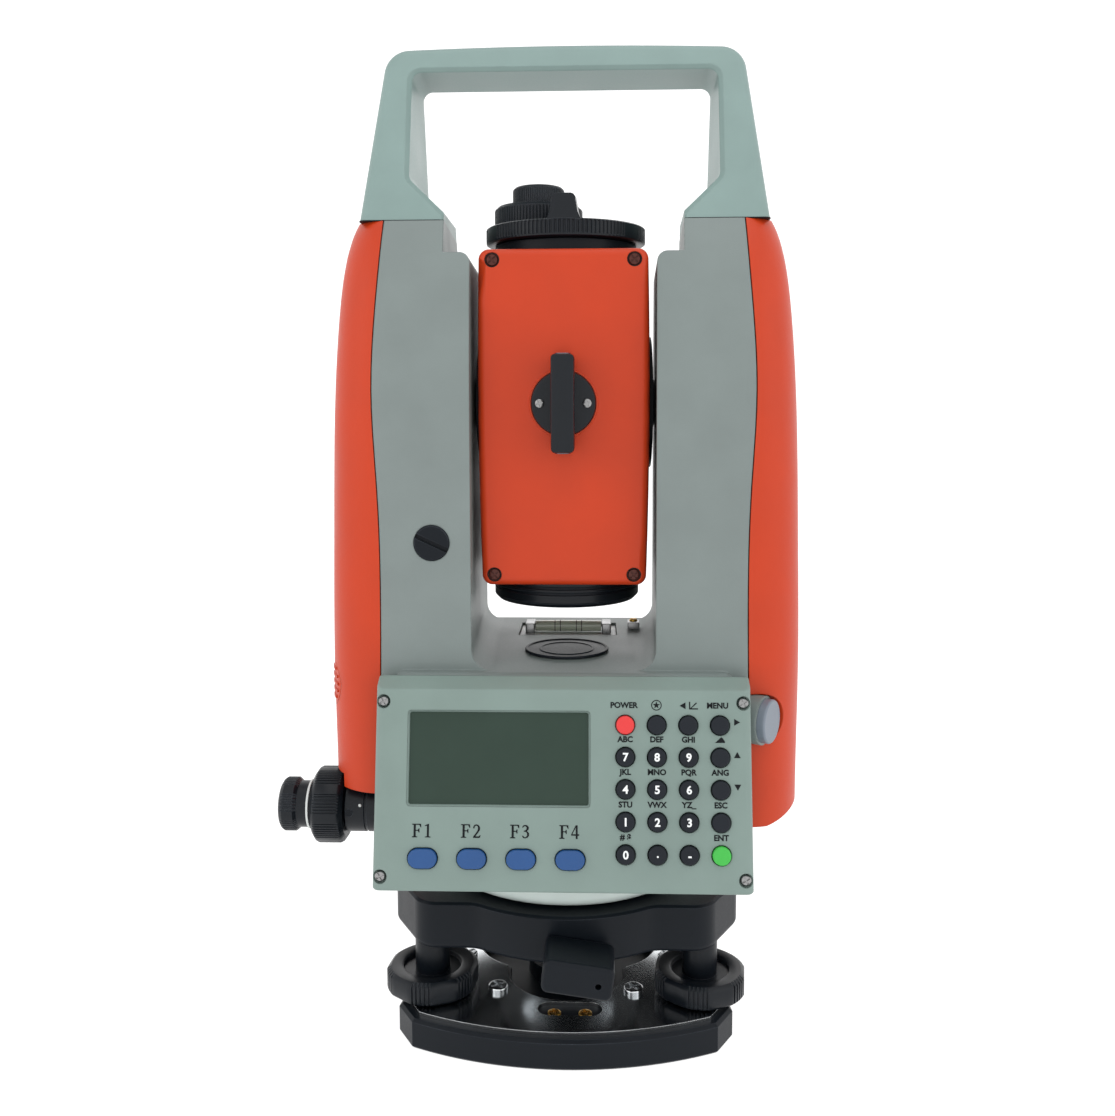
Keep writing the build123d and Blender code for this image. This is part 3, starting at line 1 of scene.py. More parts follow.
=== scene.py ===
"""How the surveying total station looks: materials, detail pieces, studio and camera.

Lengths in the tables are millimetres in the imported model's frame: Z up from the underside of the
foot plate, the keyboard towards -Y and +X on the right of somebody who faces it.
"""
import math

import bmesh
import bpy
from mathutils import Matrix, Vector


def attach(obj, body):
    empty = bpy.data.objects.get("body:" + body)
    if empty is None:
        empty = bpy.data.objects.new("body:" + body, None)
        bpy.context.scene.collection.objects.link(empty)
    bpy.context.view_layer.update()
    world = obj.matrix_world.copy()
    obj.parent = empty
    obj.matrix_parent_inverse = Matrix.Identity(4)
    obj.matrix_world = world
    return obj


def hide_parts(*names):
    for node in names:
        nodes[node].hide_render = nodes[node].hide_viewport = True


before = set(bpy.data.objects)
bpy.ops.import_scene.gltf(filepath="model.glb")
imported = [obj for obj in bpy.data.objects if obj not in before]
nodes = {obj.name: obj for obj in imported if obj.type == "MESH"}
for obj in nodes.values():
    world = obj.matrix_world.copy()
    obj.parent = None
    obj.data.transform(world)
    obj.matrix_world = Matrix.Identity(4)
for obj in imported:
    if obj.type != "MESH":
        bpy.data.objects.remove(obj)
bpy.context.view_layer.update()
MM = 0.001
SHARP = 32  # degrees over which an edge isn't smoothed
PLAIN_STEPS = 4  # divisions of the plain part between two groups of ribs
CORNER_STEPS = 4  # divisions of a block's rounded corners
INK_THICKNESS = 0.06

BROAD_MOTTLE = 18.0  # mm, the size of the slow change in every surface
COAT_ROUGHNESS = 0.12


# ------------------------------------------------------------------------------------------
# Materials
# ------------------------------------------------------------------------------------------
def rgb(red, green, blue):
    """A linear colour from 0 to 255 display values."""
    def linear(value):
        value /= 255
        return value / 12.92 if value <= 0.04045 else ((value + 0.055) / 1.055) ** 2.4
    return (linear(red), linear(green), linear(blue), 1.0)


def material(
    name, color, roughness, metallic=0.0, grain=0.5, bump=0.04, mottle=0.05, smear=0.08,
    wear=0.3, worn=None, edge=0.35, coat=0.0, shader_values=(),
):
    """A moulded or painted surface.

    grain is the texture's size and bump its depth in mm, mottle and smear the spread of colour and
    roughness, wear the share of the edges rubbed to the colour worn, and edge the rounding in mm.
    shader_values are (socket, value) pairs for anything else.
    """
    made = bpy.data.materials.new(name)
    made.use_nodes = True
    tree = made.node_tree
    shader = tree.nodes["Principled BSDF"]
    new, link = tree.nodes.new, tree.links.new

    place = new("ShaderNodeTexCoord")

    def noise(size, detail):
        node = new("ShaderNodeTexNoise")
        node.inputs["Scale"].default_value = 1 / (size * MM)
        node.inputs["Detail"].default_value = detail
        link(place.outputs["Object"], node.inputs["Vector"])
        return node

    fine, broad = noise(grain, 3.0), noise(BROAD_MOTTLE, 5.0)
    round_edges = new("ShaderNodeBevel")
    round_edges.samples = 4
    round_edges.inputs["Radius"].default_value = edge * MM

    relief = new("ShaderNodeBump")
    relief.inputs["Strength"].default_value = 1.0
    relief.inputs["Distance"].default_value = bump * MM
    link(fine.outputs["Fac"], relief.inputs["Height"])
    link(round_edges.outputs["Normal"], relief.inputs["Normal"])
    link(relief.outputs["Normal"], shader.inputs["Normal"])

    def spread(source, low, high):
        """The middle of a noise's range, stretched over low to high."""
        node = new("ShaderNodeMapRange")
        node.inputs["From Min"].default_value = 0.3
        node.inputs["From Max"].default_value = 0.7
        node.inputs["To Min"].default_value = low
        node.inputs["To Max"].default_value = high
        link(source, node.inputs["Value"])
        return node.outputs["Result"]

    def mix(kind, factor, first, second):
        """A mix of two values or sockets; FLOAT and RGBA have their own sockets on the node."""
        node = new("ShaderNodeMix")
        node.data_type = kind
        index = {"FLOAT": (2, 3, 0), "RGBA": (6, 7, 2)}[kind]
        for socket, value in ((node.inputs[0], factor), (node.inputs[index[0]], first),
                              (node.inputs[index[1]], second)):
            if isinstance(value, bpy.types.NodeSocket):
                link(value, socket)
            else:
                socket.default_value = value
        return node.outputs[index[2]]

    dark = tuple(channel * (1 - mottle) for channel in color[:3]) + (1.0,)
    light = tuple(min(1.0, channel * (1 + mottle)) for channel in color[:3]) + (1.0,)
    tone = mix("RGBA", spread(broad.outputs["Fac"], 0.0, 1.0), dark, light)
    gloss = mix("FLOAT", 0.5, spread(fine.outputs["Fac"], roughness - smear, roughness + smear),
                spread(broad.outputs["Fac"], roughness - smear, roughness + smear))
    if wear:
        true_normal = new("ShaderNodeNewGeometry")
        compare = new("ShaderNodeVectorMath")
        compare.operation = "DOT_PRODUCT"
        link(round_edges.outputs["Normal"], compare.inputs[0])
        link(true_normal.outputs["Normal"], compare.inputs[1])
        edges = new("ShaderNodeMapRange")
        edges.inputs["From Min"].default_value = 0.995
        edges.inputs["From Max"].default_value = 0.90
        link(compare.outputs["Value"], edges.inputs["Value"])
        chips = new("ShaderNodeMath")
        chips.operation = "MULTIPLY"
        link(edges.outputs["Result"], chips.inputs[0])
        link(spread(broad.outputs["Fac"], 0.0, wear), chips.inputs[1])
        tone = mix("RGBA", chips.outputs[0], tone, worn or light)
    link(tone, shader.inputs["Base Color"])
    link(gloss, shader.inputs["Roughness"])
    shader.inputs["Metallic"].default_value = metallic
    shader.inputs["Coat Weight"].default_value = coat
    shader.inputs["Coat Roughness"].default_value = COAT_ROUGHNESS
    for socket, value in shader_values:
        shader.inputs[socket].default_value = value
    return made


def wear_to(red, green, blue, share=0.3):
    """The worn edge's colour, and how much of the edges shows it."""
    return {"wear": share, "worn": rgb(red, green, blue)}


BARE = dict(metallic=1.0, wear=0.0, mottle=0.03)  # uncoated metal
DEEP = (("Specular IOR Level", 0.16),)  # a black with little sheen
CLEAR = dict(grain=3.0, bump=0.0, smear=0.02, wear=0.0)  # glass and liquid

look = {
    "housing": material("housing_grey", rgb(114, 124, 122), 0.46, grain=0.55, bump=0.035,
                        edge=0.8, **wear_to(150, 160, 158)),
    "handle": material("handle_grey", rgb(122, 144, 140), 0.44, grain=0.6, bump=0.035,
                       edge=0.6, **wear_to(152, 170, 166)),
    "panel": material("panel_grey", rgb(116, 134, 128), 0.5, grain=0.35, bump=0.015,
                      edge=0.5, **wear_to(146, 162, 156)),
    "drum": material("drum_grey", rgb(204, 216, 212), 0.42, grain=0.4, bump=0.012,
                     **wear_to(230, 236, 234)),
    "orange": material("orange_shell", rgb(184, 54, 16), 0.42, grain=0.5, bump=0.02,
                       edge=0.5, mottle=0.04, shader_values=(("Specular IOR Level", 0.3),),
                       **wear_to(216, 96, 58)),
    "black": material("black_casting", rgb(15, 20, 26), 0.4, grain=0.45, bump=0.02,
                      shader_values=DEEP, **wear_to(84, 90, 98, 0.6)),
    "knob": material("black_knob", rgb(13, 18, 24), 0.34, grain=0.35, bump=0.012, edge=0.18,
                     shader_values=(("Specular IOR Level", 0.26),),
                     **wear_to(96, 102, 110, 0.6)),
    "steel": material("bright_steel", rgb(205, 208, 210), 0.16, grain=0.25, bump=0.002,
                      smear=0.05, edge=0.2, **BARE),
    "screw": material("screw_steel", rgb(150, 150, 150), 0.3, grain=0.2, bump=0.006,
                      edge=0.1, **BARE),
    "brass": material("turned_brass", rgb(184, 146, 70), 0.26, grain=0.2, bump=0.004,
                      edge=0.1, **BARE),
    "dark_screw": material("dark_screw", rgb(74, 34, 26), 0.34, metallic=0.5, grain=0.2,
                           bump=0.008, edge=0.1, wear=0.0),
    "recess": material("recess_shadow", rgb(44, 24, 20), 0.6, grain=0.3, bump=0.01, wear=0.0),
    "coated": material("coated_lens", rgb(30, 26, 52), 0.05, coat=1.0,
                       shader_values=(("IOR", 1.7),), **CLEAR),
    "liquid": material("vial_liquid", rgb(206, 224, 120), 0.08, coat=0.8, **CLEAR),
    "vial": material("vial_glass", rgb(214, 220, 200), 0.08, coat=0.8, **CLEAR),
    "white": material("white_plastic", rgb(210, 214, 212), 0.4, grain=0.4, bump=0.006,
                      **wear_to(226, 226, 226)),
    "display": material("display", rgb(46, 61, 53), 0.22, grain=0.3, bump=0.001, mottle=0.05,
                        smear=0.03, wear=0.0, shader_values=DEEP),
    "cap": material("cap_grey", rgb(110, 119, 130), 0.4, grain=0.3, bump=0.01,
                    **wear_to(132, 140, 148)),
    "board": material("circuit_green", rgb(40, 110, 62), 0.4, grain=1.2, bump=0.03, wear=0.0),
    "key_blue": material("key_blue", rgb(12, 68, 124), 0.34, grain=0.25, bump=0.008,
                         **wear_to(70, 120, 170)),
    "key_red": material("key_red", rgb(212, 46, 46), 0.4, grain=0.25, bump=0.008,
                        **wear_to(230, 100, 96)),
    "key_green": material("key_green", rgb(54, 172, 62), 0.4, grain=0.25, bump=0.008,
                          **wear_to(110, 206, 114)),
    "key_black": material("key_black", rgb(28, 32, 38), 0.4, grain=0.25, bump=0.008,
                          shader_values=DEEP, **wear_to(82, 86, 96)),
    "ink_white": material("ink_white", rgb(228, 232, 232), 0.5, grain=0.15, bump=0.002,
                          wear=0.0),
    # dark ink for the printed legends and marks, also the painted shade in the seam under the
    # handle's feet
    "ink_dark": material("ink_dark", rgb(14, 18, 21), 0.55, grain=0.15, bump=0.002, wear=0.0,
                         shader_values=DEEP),
}

PAINT = {
    "housing": ["yoke_frame"],
    "handle": ["carry_handle"],
    "panel": ["front_panel"],
    "drum": ["base_drum"],
    "orange": ["left_cover", "right_cover", "telescope_covers", "battery_latch", "battery_pack"],
    "black": [
        "base_plate", "tribrach_body", "clamp_knob", "telescope_frame", "trunnion_axles",
    ],
    "steel": ["spring_plate", "lock_ring", "vertical_spindle"],
    "brass": ["thread_bushes"],
    "coated": ["telescope_lenses"],
    "display": ["display_window"],
    "cap": ["data_port_cap"],
    "board": ["circuit_boards"],
    "key_blue": ["key_f1", "key_f2", "key_f3", "key_f4"],
    "key_red": ["key_power"],
    "key_green": ["key_enter"],
    "key_black": [
        "key_star", "key_angle", "key_menu", "key_7", "key_8", "key_9", "key_up", "key_4",
        "key_5", "key_6", "key_down", "key_1", "key_2", "key_3", "key_esc", "key_0",
        "key_dot", "key_minus",
    ],
}
for name, painted in PAINT.items():
    for node in painted:
        mesh = nodes[node].data
        mesh.materials.clear()
        mesh.materials.append(look[name])


# ------------------------------------------------------------------------------------------
# Mesh helpers
# ------------------------------------------------------------------------------------------
def closed_mesh(name, vertices, faces):
    """A mesh from points in mm, with its normals turned outwards."""
    mesh = bpy.data.meshes.new(name)
    mesh.from_pydata([v * MM for v in vertices], [], faces)
    work = bmesh.new()
    work.from_mesh(mesh)
    bmesh.ops.recalc_face_normals(work, faces=work.faces)
    work.to_mesh(mesh)
    work.free()
    return mesh


def linked(name, data):
    """A new object in the scene."""
    made = bpy.data.objects.new(name, data)
    bpy.context.scene.collection.objects.link(made)
    return made


class Piece:
    """A mesh under construction, in mm. Parts can each have their own material."""

    def __init__(self, name):
        self.name = name
        self.vertices = []
        self.faces = []
        self.slots = []
        self.materials = []

    def add(self, vertices, faces, paint, matrix=Matrix()):
        start = len(self.vertices)
        self.vertices += [matrix @ Vector(v) for v in vertices]
        self.faces += [[start + i for i in face] for face in faces]
        if paint not in self.materials:
            self.materials.append(paint)
        self.slots += [self.materials.index(paint)] * len(faces)
        return self

    def finish(self, body, slot=None, replaces=()):
        """Makes the object and hangs it on its body."""
        mesh = closed_mesh(self.name, self.vertices, self.faces)
        for paint in self.materials:
            mesh.materials.append(look[paint])
        mesh.polygons.foreach_set("material_index", self.slots)
        mesh.polygons.foreach_set("use_smooth", [True] * len(mesh.polygons))
        mesh.set_sharp_from_angle(angle=math.radians(SHARP))
        piece = linked(self.name, mesh)
        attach(piece, body)
        if replaces:
            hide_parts(*replaces)
        return piece


def plane(origin, x_axis, z_axis):
    """The matrix of a plane from its origin, its x direction and its normal."""
    z = Vector(z_axis).normalized()
    x = Vector(x_axis).normalized()
    y = z.cross(x)
    return Matrix.Translation(origin) @ Matrix((x, y, z)).transposed().to_4x4()


def shifted(x, y, z=0.0):
    return Matrix.Translation((x, y, z))


def turned_by(degrees):
    return Matrix.Rotation(math.radians(degrees), 4, "Z")


def circle(steps=64):
    """A plain outline for turned, as (angle, cut) pairs."""
    return [(360 * n / steps, 0.0) for n in range(steps)]


def ribs(groups, count, share, depth, start=0.0):
    """Groups of ribs round a circle, as (angle, cut) pairs.

    share is the part of each group's period that has ribs on it.
    """
    outline = []
    period = 360 / groups
    pitch = period * share / count
    for group in range(groups):
        first = start + group * period
        for rib in range(count):
            angle = first + rib * pitch
            outline += [(angle, depth), (angle + 0.30 * pitch, depth),
                        (angle + 0.48 * pitch, 0.0), (angle + 0.82 * pitch, 0.0)]
        plain = period * (1 - share)
        if plain > 1e-6:
            last = first + period * share
            outline.append((last, depth))
            outline += [(last + 0.18 * pitch + (plain - 0.3 * pitch) * n / PLAIN_STEPS, 0)
                        for n in range(PLAIN_STEPS + 1)]
    return outline


def turned(profile, outline):
    """Vertices and faces of a profile turned about Z; profile points are (radius, z, rib share).

    A closed profile ends where it starts. A point on the axis becomes a pole.
    """
    vertices, rings = [], []
    for point in profile:
        radius, z, share = (*point, 0.0)[:3]
        if radius == 0:
            rings.append([len(vertices)])
            vertices.append((0, 0, z))
            continue
        ring = []
        for angle, cut in outline:
            size = radius - share * cut
            ring.append(len(vertices))
            vertices.append((size * math.cos(math.radians(angle)),
                             size * math.sin(math.radians(angle)), z))
        rings.append(ring)
    if profile[0][:2] == profile[-1][:2] and len(rings[0]) > 1:
        rings[-1] = rings[0]
    faces, count = [], len(outline)
    for low, high in zip(rings, rings[1:]):
        for n in range(count):
            m = (n + 1) % count
            if len(low) == 1:
                faces.append([low[0], high[n], high[m]])
            elif len(high) == 1:
                faces.append([low[n], low[m], high[0]])
            else:
                faces.append([low[n], low[m], high[m], high[n]])
    return vertices, faces


def rounded_rectangle(width, depth, radius, z, steps):
    """The corner points of a rectangle with rounded corners, anticlockwise."""
    points = []
    for sx, sy, first in ((1, 1, 0), (-1, 1, 90), (-1, -1, 180), (1, -1, 270)):
        for n in range(steps + 1):
            angle = math.radians(first + 90 * n / steps)
            points.append((sx * (width / 2 - radius) + radius * math.cos(angle),
                           sy * (depth / 2 - radius) + radius * math.sin(angle), z))
    return points


def block(size, corner=0.0, bevel=0.0):
    """A block standing on Z 0, with rounded upright corners and a bevelled top."""
    width, depth, height = size
    layers = [(0.0, 0.0), (0.0, height - bevel)]
    if bevel:
        layers += [(0.3 * bevel, height - 0.3 * bevel), (bevel, height)]
    vertices = []
    for inset, z in layers:
        vertices += rounded_rectangle(width - 2 * inset, depth - 2 * inset,
                                      max(corner - inset, 0.01), z, CORNER_STEPS)
    count = 4 * (CORNER_STEPS + 1)
    faces = [[layer * count + n, layer * count + (n + 1) % count,
              (layer + 1) * count + (n + 1) % count, (layer + 1) * count + n]
             for layer in range(len(layers) - 1) for n in range(count)]
    faces.append(list(range(count))[::-1])
    faces.append([(len(layers) - 1) * count + n for n in range(count)])
    return vertices, faces


def cross_head(radius, height, turn=20.0, slots=2):
    """A screw head on Z 0 with a cross or a single slot cut in its domed top."""
    profile = [(0, 0), (radius, 0), (radius, 0.45 * height), (0.93 * radius, 0.75 * height),
               (0.72 * radius, height), (0, height)]
    body = boolean_source(Piece("head").add(*turned(profile, circle(32)), "screw"))
    for n in range(slots):
        cutter = Piece("cutter").add(*block((1.5 * radius, 0.3 * radius, height)), "screw",
                                     Matrix.Translation((0, 0, 0.4 * height))
                                     @ turned_by(turn + 90 * n))
        body = cut(body, boolean_source(cutter))
    return taken(body)


def boolean_source(piece):
    """A plain object of a Piece, used only while cutting."""
    return linked(piece.name, closed_mesh(piece.name, piece.vertices, piece.faces))


def evaluated_mesh(source):
    """A copy of the mesh that source shows, with its modifiers applied."""
    bpy.context.view_layer.update()
    seen = source.evaluated_get(bpy.context.evaluated_depsgraph_get())
    return bpy.data.meshes.new_from_object(seen)


def cut(body, cutter):
    """body with cutter taken out of it; both sources are used up."""
    modifier = body.modifiers.new("cut", "BOOLEAN")
    modifier.operation = "DIFFERENCE"
    modifier.solver = "EXACT"
    modifier.object = cutter
    result = linked("cut", evaluated_mesh(body))
    bpy.data.objects.remove(body)
    bpy.data.objects.remove(cutter)
    return result


def taken(source):
    """Vertices in mm and faces of a plain object, which is used up."""
    mesh = source.data
    found = [tuple(v.co / MM) for v in mesh.vertices], [list(p.vertices) for p in mesh.polygons]
    bpy.data.objects.remove(source)
    return found


def lettering(text, size, offset):
    """The mesh of a centred line of built-in type, in mm, standing on Z 0."""
    curve = bpy.data.curves.new("lettering", "FONT")
    curve.body = text
    curve.size = size
    curve.align_x = "CENTER"
    curve.align_y = "CENTER"
    curve.extrude = INK_THICKNESS / 2
    curve.offset = offset
    curve.resolution_u = 3
    source = linked("lettering", curve)
    mesh = evaluated_mesh(source)
    found = ([(v.co.x, v.co.y, v.co.z + INK_THICKNESS / 2) for v in mesh.vertices],
             [list(p.vertices) for p in mesh.polygons])
    bpy.data.objects.remove(source)
    return found


def flat_shape(points, thickness=INK_THICKNESS):
    """A thin plate with the given outline, standing on Z 0."""
    count = len(points)
    vertices = [(x, y, 0) for x, y in points] + [(x, y, thickness) for x, y in points]
    faces = [list(range(count))[::-1], list(range(count, 2 * count))]
    faces += [[n, (n + 1) % count, count + (n + 1) % count, count + n] for n in range(count)]
    return vertices, faces


TILT = math.radians(12.0)
PANEL = plane((0, -59.0, 92.2), (1, 0, 0), (0, -math.cos(TILT), math.sin(TILT)))
HORIZONTAL_DRIVE = plane((-50, -25, 74.5), (0, -1, 0), (-1, 0, 0))
VERTICAL_DRIVE = plane((-42, 24, 166), (1, 0, 0), (0, 1, 0))

# ------------------------------------------------------------------------------------------
# Foot screws: knobs with six plain flats between groups of ribs
# ------------------------------------------------------------------------------------------
KNOB_PROFILE = [
    (0, 4.2), (5.0, 4.2), (5.0, 9.8), (4.0, 9.8), (4.0, 11.7), (13.9, 11.7, 0.3),
    (15.2, 12.5, 1), (15.5, 13.0, 1), (15.5, 18.3, 1), (15.2, 18.8, 0.8), (14.0, 19.6, 0.2),
    (10.6, 19.6), (9.9, 19.2), (9.6, 18.0), (5.8, 17.8), (5.8, 31.0), (5.4, 31.4),
    (4.0, 31.4), (4.0, 43.0), (3.6, 43.4), (0, 43.4),
]


KNOB_RIB_PITCH, KNOB_RIB_DEPTH = 5.4, 0.55  # degrees, mm
KNOB_FLAT_START, KNOB_FLAT_SPAN, KNOB_FLAT_DEPTH = 28.5, 31.5, 2.3
FOOT_SCREWS = {"left": (-45.466, -26.25), "right": (45.466, -26.25), "rear": (0, 52.5)}


def knob_outline():
    """Six groups of five ribs and six flats, as (angle, cut) pairs."""
    outline = []
    for group in range(6):
        first = 60 * group + 8
        for rib in range(5):
            angle = first + KNOB_RIB_PITCH * rib
            outline += [(angle, 0.0), (angle + 2.9, 0.0), (angle + 3.5, KNOB_RIB_DEPTH),
                        (angle + 4.8, KNOB_RIB_DEPTH)]
        outline += [(first + 27.0, 0.0), (first + KNOB_FLAT_START, 0.0)]
        for n in range(1, 6):
            share = n / 6
            outline.append((first + KNOB_FLAT_START + KNOB_FLAT_SPAN * share,
                            KNOB_FLAT_DEPTH * share * (1 - share)))
    return outline


for name, (x, y) in FOOT_SCREWS.items():
    Piece(f"foot_screw_{name}_knob").add(
        *turned(KNOB_PROFILE, knob_outline()), "knob", shifted(x, y)
    ).finish(f"foot_screw_{name}", "black_casting", [f"foot_screw_{name}"])

brass_screws = Piece("foot_plate_brass_screws")
for x in (-3.4, 6.8):
    brass_screws.add(*cross_head(2.3, 0.9, turn=15), "brass", shifted(x, -40.6, 10.0))
brass_screws.finish("root", "brass")

# ------------------------------------------------------------------------------------------
# Drives: fixed barrels, ribbed clamp rings and tangent knobs
# ------------------------------------------------------------------------------------------
RING_PROFILE = [
    (6.55, 23.6), (10.6, 23.6), (12.2, 24.7, 0.3), (12.6, 25.5, 1), (12.6, 32.5, 1),
    (12.2, 33.3, 0.3), (10.6, 34.4), (9.0, 34.4), (8.6, 33.9), (6.55, 33.9), (6.55, 23.6),
]
TANGENT_PROFILE = [
    (0, 4.0), (3.0, 4.0), (3.0, 34.7), (7.7, 34.7), (7.7, 39.8), (8.0, 39.9, 0.2),
    (8.9, 40.9, 1), (8.9, 44.4, 1), (8.3, 45.3, 0.6), (7.3, 45.9), (5.0, 46.2), (0, 46.3),
]
INDEX_PROFILE = [(7.72, 35.7), (8.2, 35.7), (8.2, 36.4), (7.72, 36.4), (7.72, 35.7)]
BARREL_PROFILE = [
    (3.05, 0), (8.88, 0), (8.88, 15.9), (8.4, 16.1), (8.4, 16.7), (8.88, 16.9), (8.88, 23.0),
    (8.5, 23.3), (6.5, 23.3), (6.5, 33.6), (3.05, 33.6), (3.05, 0),
]
for direction, seat in (("horizontal", HORIZONTAL_DRIVE), ("vertical", VERTICAL_DRIVE)):
    Piece(f"{direction}_clamp_ring_ribbed").add(
        *turned(RING_PROFILE, ribs(8, 6, 0.62, 0.42, start=6)), "knob", seat
    ).finish(f"{direction}_clamp_ring", "black_knob", [f"{direction}_clamp_ring"])
    Piece(f"{direction}_tangent_knob_ribbed").add(
        *turned(TANGENT_PROFILE, ribs(6, 5, 0.6, 0.3, start=4)), "knob", seat
    ).add(*turned(INDEX_PROFILE, circle(64)), "white", seat).finish(
        f"{direction}_tangent_knob", "black_knob", [f"{direction}_tangent_knob"])

barrels = Piece("drive_barrels_turned")
for seat in (HORIZONTAL_DRIVE, VERTICAL_DRIVE):
    barrels.add(*turned(BARREL_PROFILE, circle(72)), "knob", seat)
# grub screw and index dot on the horizontal barrel's front
barrels.add(*turned([(0, 0.1), (0.75, 0.1), (1.0, 0.22), (1.3, 0.22), (1.35, -0.4), (0, -0.4)],
                    circle(20)), "black",
            plane((-71.6, -33.88, 74.7), (1, 0, 0), (0, -1, 0)))
barrels.add(*turned([(0, 0.12), (0.4, 0.1), (0.5, 0), (0.5, -0.4), (0, -0.4)], circle(16)),
            "white", plane((-68.0, -33.5, 77.2), (1, 0, 0), (0, -0.953, 0.303)))
barrels.finish("alidade", "black_knob", ["drive_barrels"])

# ------------------------------------------------------------------------------------------
# Telescope: focus ring, eyepiece, sights and screws
# ------------------------------------------------------------------------------------------
FOCUS_PROFILE = [
    (21.05, 263.6), (26.5, 263.6), (27.2, 264.0), (27.3, 264.5, 0.2), (27.3, 264.8, 1),
    (27.3, 268.6, 1), (27.2, 268.9, 0.2), (26.6, 269.3), (21.05, 269.3), (21.05, 263.6),
]
LUG_OUTLINE = [
    (-5.6, 0), (5.6, 0), (4.9, 3.0), (4.1, 7.6), (3.5, 8.3), (2.6, 8.6), (-2.6, 8.6),
    (-3.5, 8.3), (-4.1, 7.6), (-4.9, 3.0),
]
LUG_THICKNESS, LUG_TAPER = 4.6, 0.9
focus = Piece("focus_ring_ribbed").add(
    *turned(FOCUS_PROFILE, ribs(3, 33, 0.84, 0.5, start=-145)), "knob")
lug_vertices, lug_faces = flat_shape(LUG_OUTLINE, LUG_THICKNESS)
# the lug's outer face is narrower than its inner one
focus.add([(x * (LUG_TAPER if z > 0 and y > 1 else 1), y, z) for x, y, z in lug_vertices],
          lug_faces, "knob", plane((0, -22.0, 268.6), (1, 0, 0), (0, -1, 0)))
focus.finish("focus_ring", "black_casting", ["focus_ring"])


def band(radius, low, high):
    """A raised band with bevelled edges round a cylinder of the given radius."""
    inner, foot, crest, bevel = radius - 0.1, radius + 0.02, radius + 0.28, 0.25
    return turned([(inner, low), (foot, low), (crest, low + bevel), (crest, high - bevel),
                   (foot, high), (inner, high), (inner, low)], circle(96))


OBJECTIVE_RADIUS = 25.0
bands = Piece("objective_ring_bands")
for low, high in ((143.4, 146.3), (147.0, 148.2), (148.9, 150.5)):
    bands.add(*band(OBJECTIVE_RADIUS, low, high), "knob")
bands.finish("telescope", "black_casting")

EYEPIECE = shifted(-9.3, 0)
Piece("diopter_ring_ribbed").add(
    *turned([(7.25, 277.2), (8.6, 277.2), (8.85, 277.6, 1), (8.85, 282.3, 1), (8.6, 282.8, 0.4),
             (7.9, 283.4), (7.25, 283.6), (7.25, 277.2)], ribs(24, 3, 1.0, 0.3)), "knob", EYEPIECE
).finish("diopter_ring", "black_casting", ["diopter_ring"])
Piece("eyepiece_collar").add(
    *turned([(14.75, 270.2), (15.1, 270.4, 1), (15.1, 275.3, 1), (14.9, 275.8), (14.75, 275.8),
             (14.75, 270.2)], ribs(28, 3, 1.0, 0.32)), "knob", EYEPIECE
).add(*turned([(7.3, 276.81), (8.4, 276.81), (8.4, 277.05), (7.3, 277.05), (7.3, 276.81)],
              circle(48)), "screw", EYEPIECE).finish("telescope", "black_casting")

TRUNNION_HEIGHT = 210.0
SIGHT_SEAT = 33.02  # Y of the covers' faces under the sights
SIGHT_TUBE = (7.2, 30.6, 11.1)
sights = Piece("sights_detailed")
screw_head = cross_head(1.45, 0.75)
for facing in (-1, 1):
    seat = plane((0, facing * SIGHT_SEAT, TRUNNION_HEIGHT), (1, 0, 0), (0, facing, 0))
    sights.add(*turned([(0, 0), (10.4, 0), (10.4, 1.0), (10.1, 1.6), (9.3, 1.9), (0, 1.9)],
                       circle(72)), "knob", seat)
    sights.add(*turned([(10.45, 0), (11.1, 0), (11.1, 0.3), (10.9, 0.5), (10.6, 0.5),
                        (10.45, 0.3), (10.45, 0)], circle(72)), "orange", seat)
    sights.add(*block(SIGHT_TUBE, 1.3, bevel=0.7), "knob", seat @ shifted(0, 0, 1.9))
    for end in (-1, 1):
        sights.add(*turned([(0, 0.05), (1.9, 0.05), (2.1, 0.35), (2.5, 0.35), (2.6, -0.3),
                            (0, -0.3)], circle(28)), "coated",
                   seat @ plane((0, end * SIGHT_TUBE[1] / 2, 8.6), (1, 0, 0), (0, end, 0)))
    for side in (-1, 1):
        sights.add(*screw_head, "screw", seat @ shifted(side * 7.6, 0, 1.85))
sights.finish("telescope", "black_casting", ["collimator_sights"])

COVER_SCREW_X, COVER_SCREW_Z = (-22.6, 22.6), (154.6, 255.4)
COVER_RECESS = 31.71  # Y of the recesses' floors
cover_screws = Piece("cover_screws")
cover_head = cross_head(1.85, 0.9, turn=40)
recess_floor = turned([(0, 0), (2.38, 0), (2.38, 0.12), (0, 0.12)], circle(40))
for facing in (-1, 1):
    for x in COVER_SCREW_X:
        for z in COVER_SCREW_Z:
            spot = plane((x, facing * COVER_RECESS, z), (1, 0, 0), (0, facing, 0))
            cover_screws.add(*recess_floor, "recess", spot)
            cover_screws.add(*cover_head, "dark_screw", spot @ shifted(0, 0, 0.1))
cover_screws.finish("telescope", "steel")

# ------------------------------------------------------------------------------------------
# Carry handle: feet flush with the posts' inner faces, and a dark strip of painted shade in the
# seam under each foot
# ------------------------------------------------------------------------------------------
POST_GAP = [(-37.7, -47.0), (37.7, -47.0), (42.1, 47.0), (-42.1, 47.0)]
POST_GAP_HEIGHTS = 260.0, 290.0
BODY_TOP = 268.8
FOOT_INNER, FOOT_OUTER, FOOT_DEPTH = 38.0, 66.3, 26.6
# height, sinking and overhang in mm of the dark strip painted as the shade in the gap under each
# foot
SEAM_SHADE_HEIGHT, SEAM_SHADE_SUNK, SEAM_SHADE_PROUD = 0.35, 0.1, 0.08


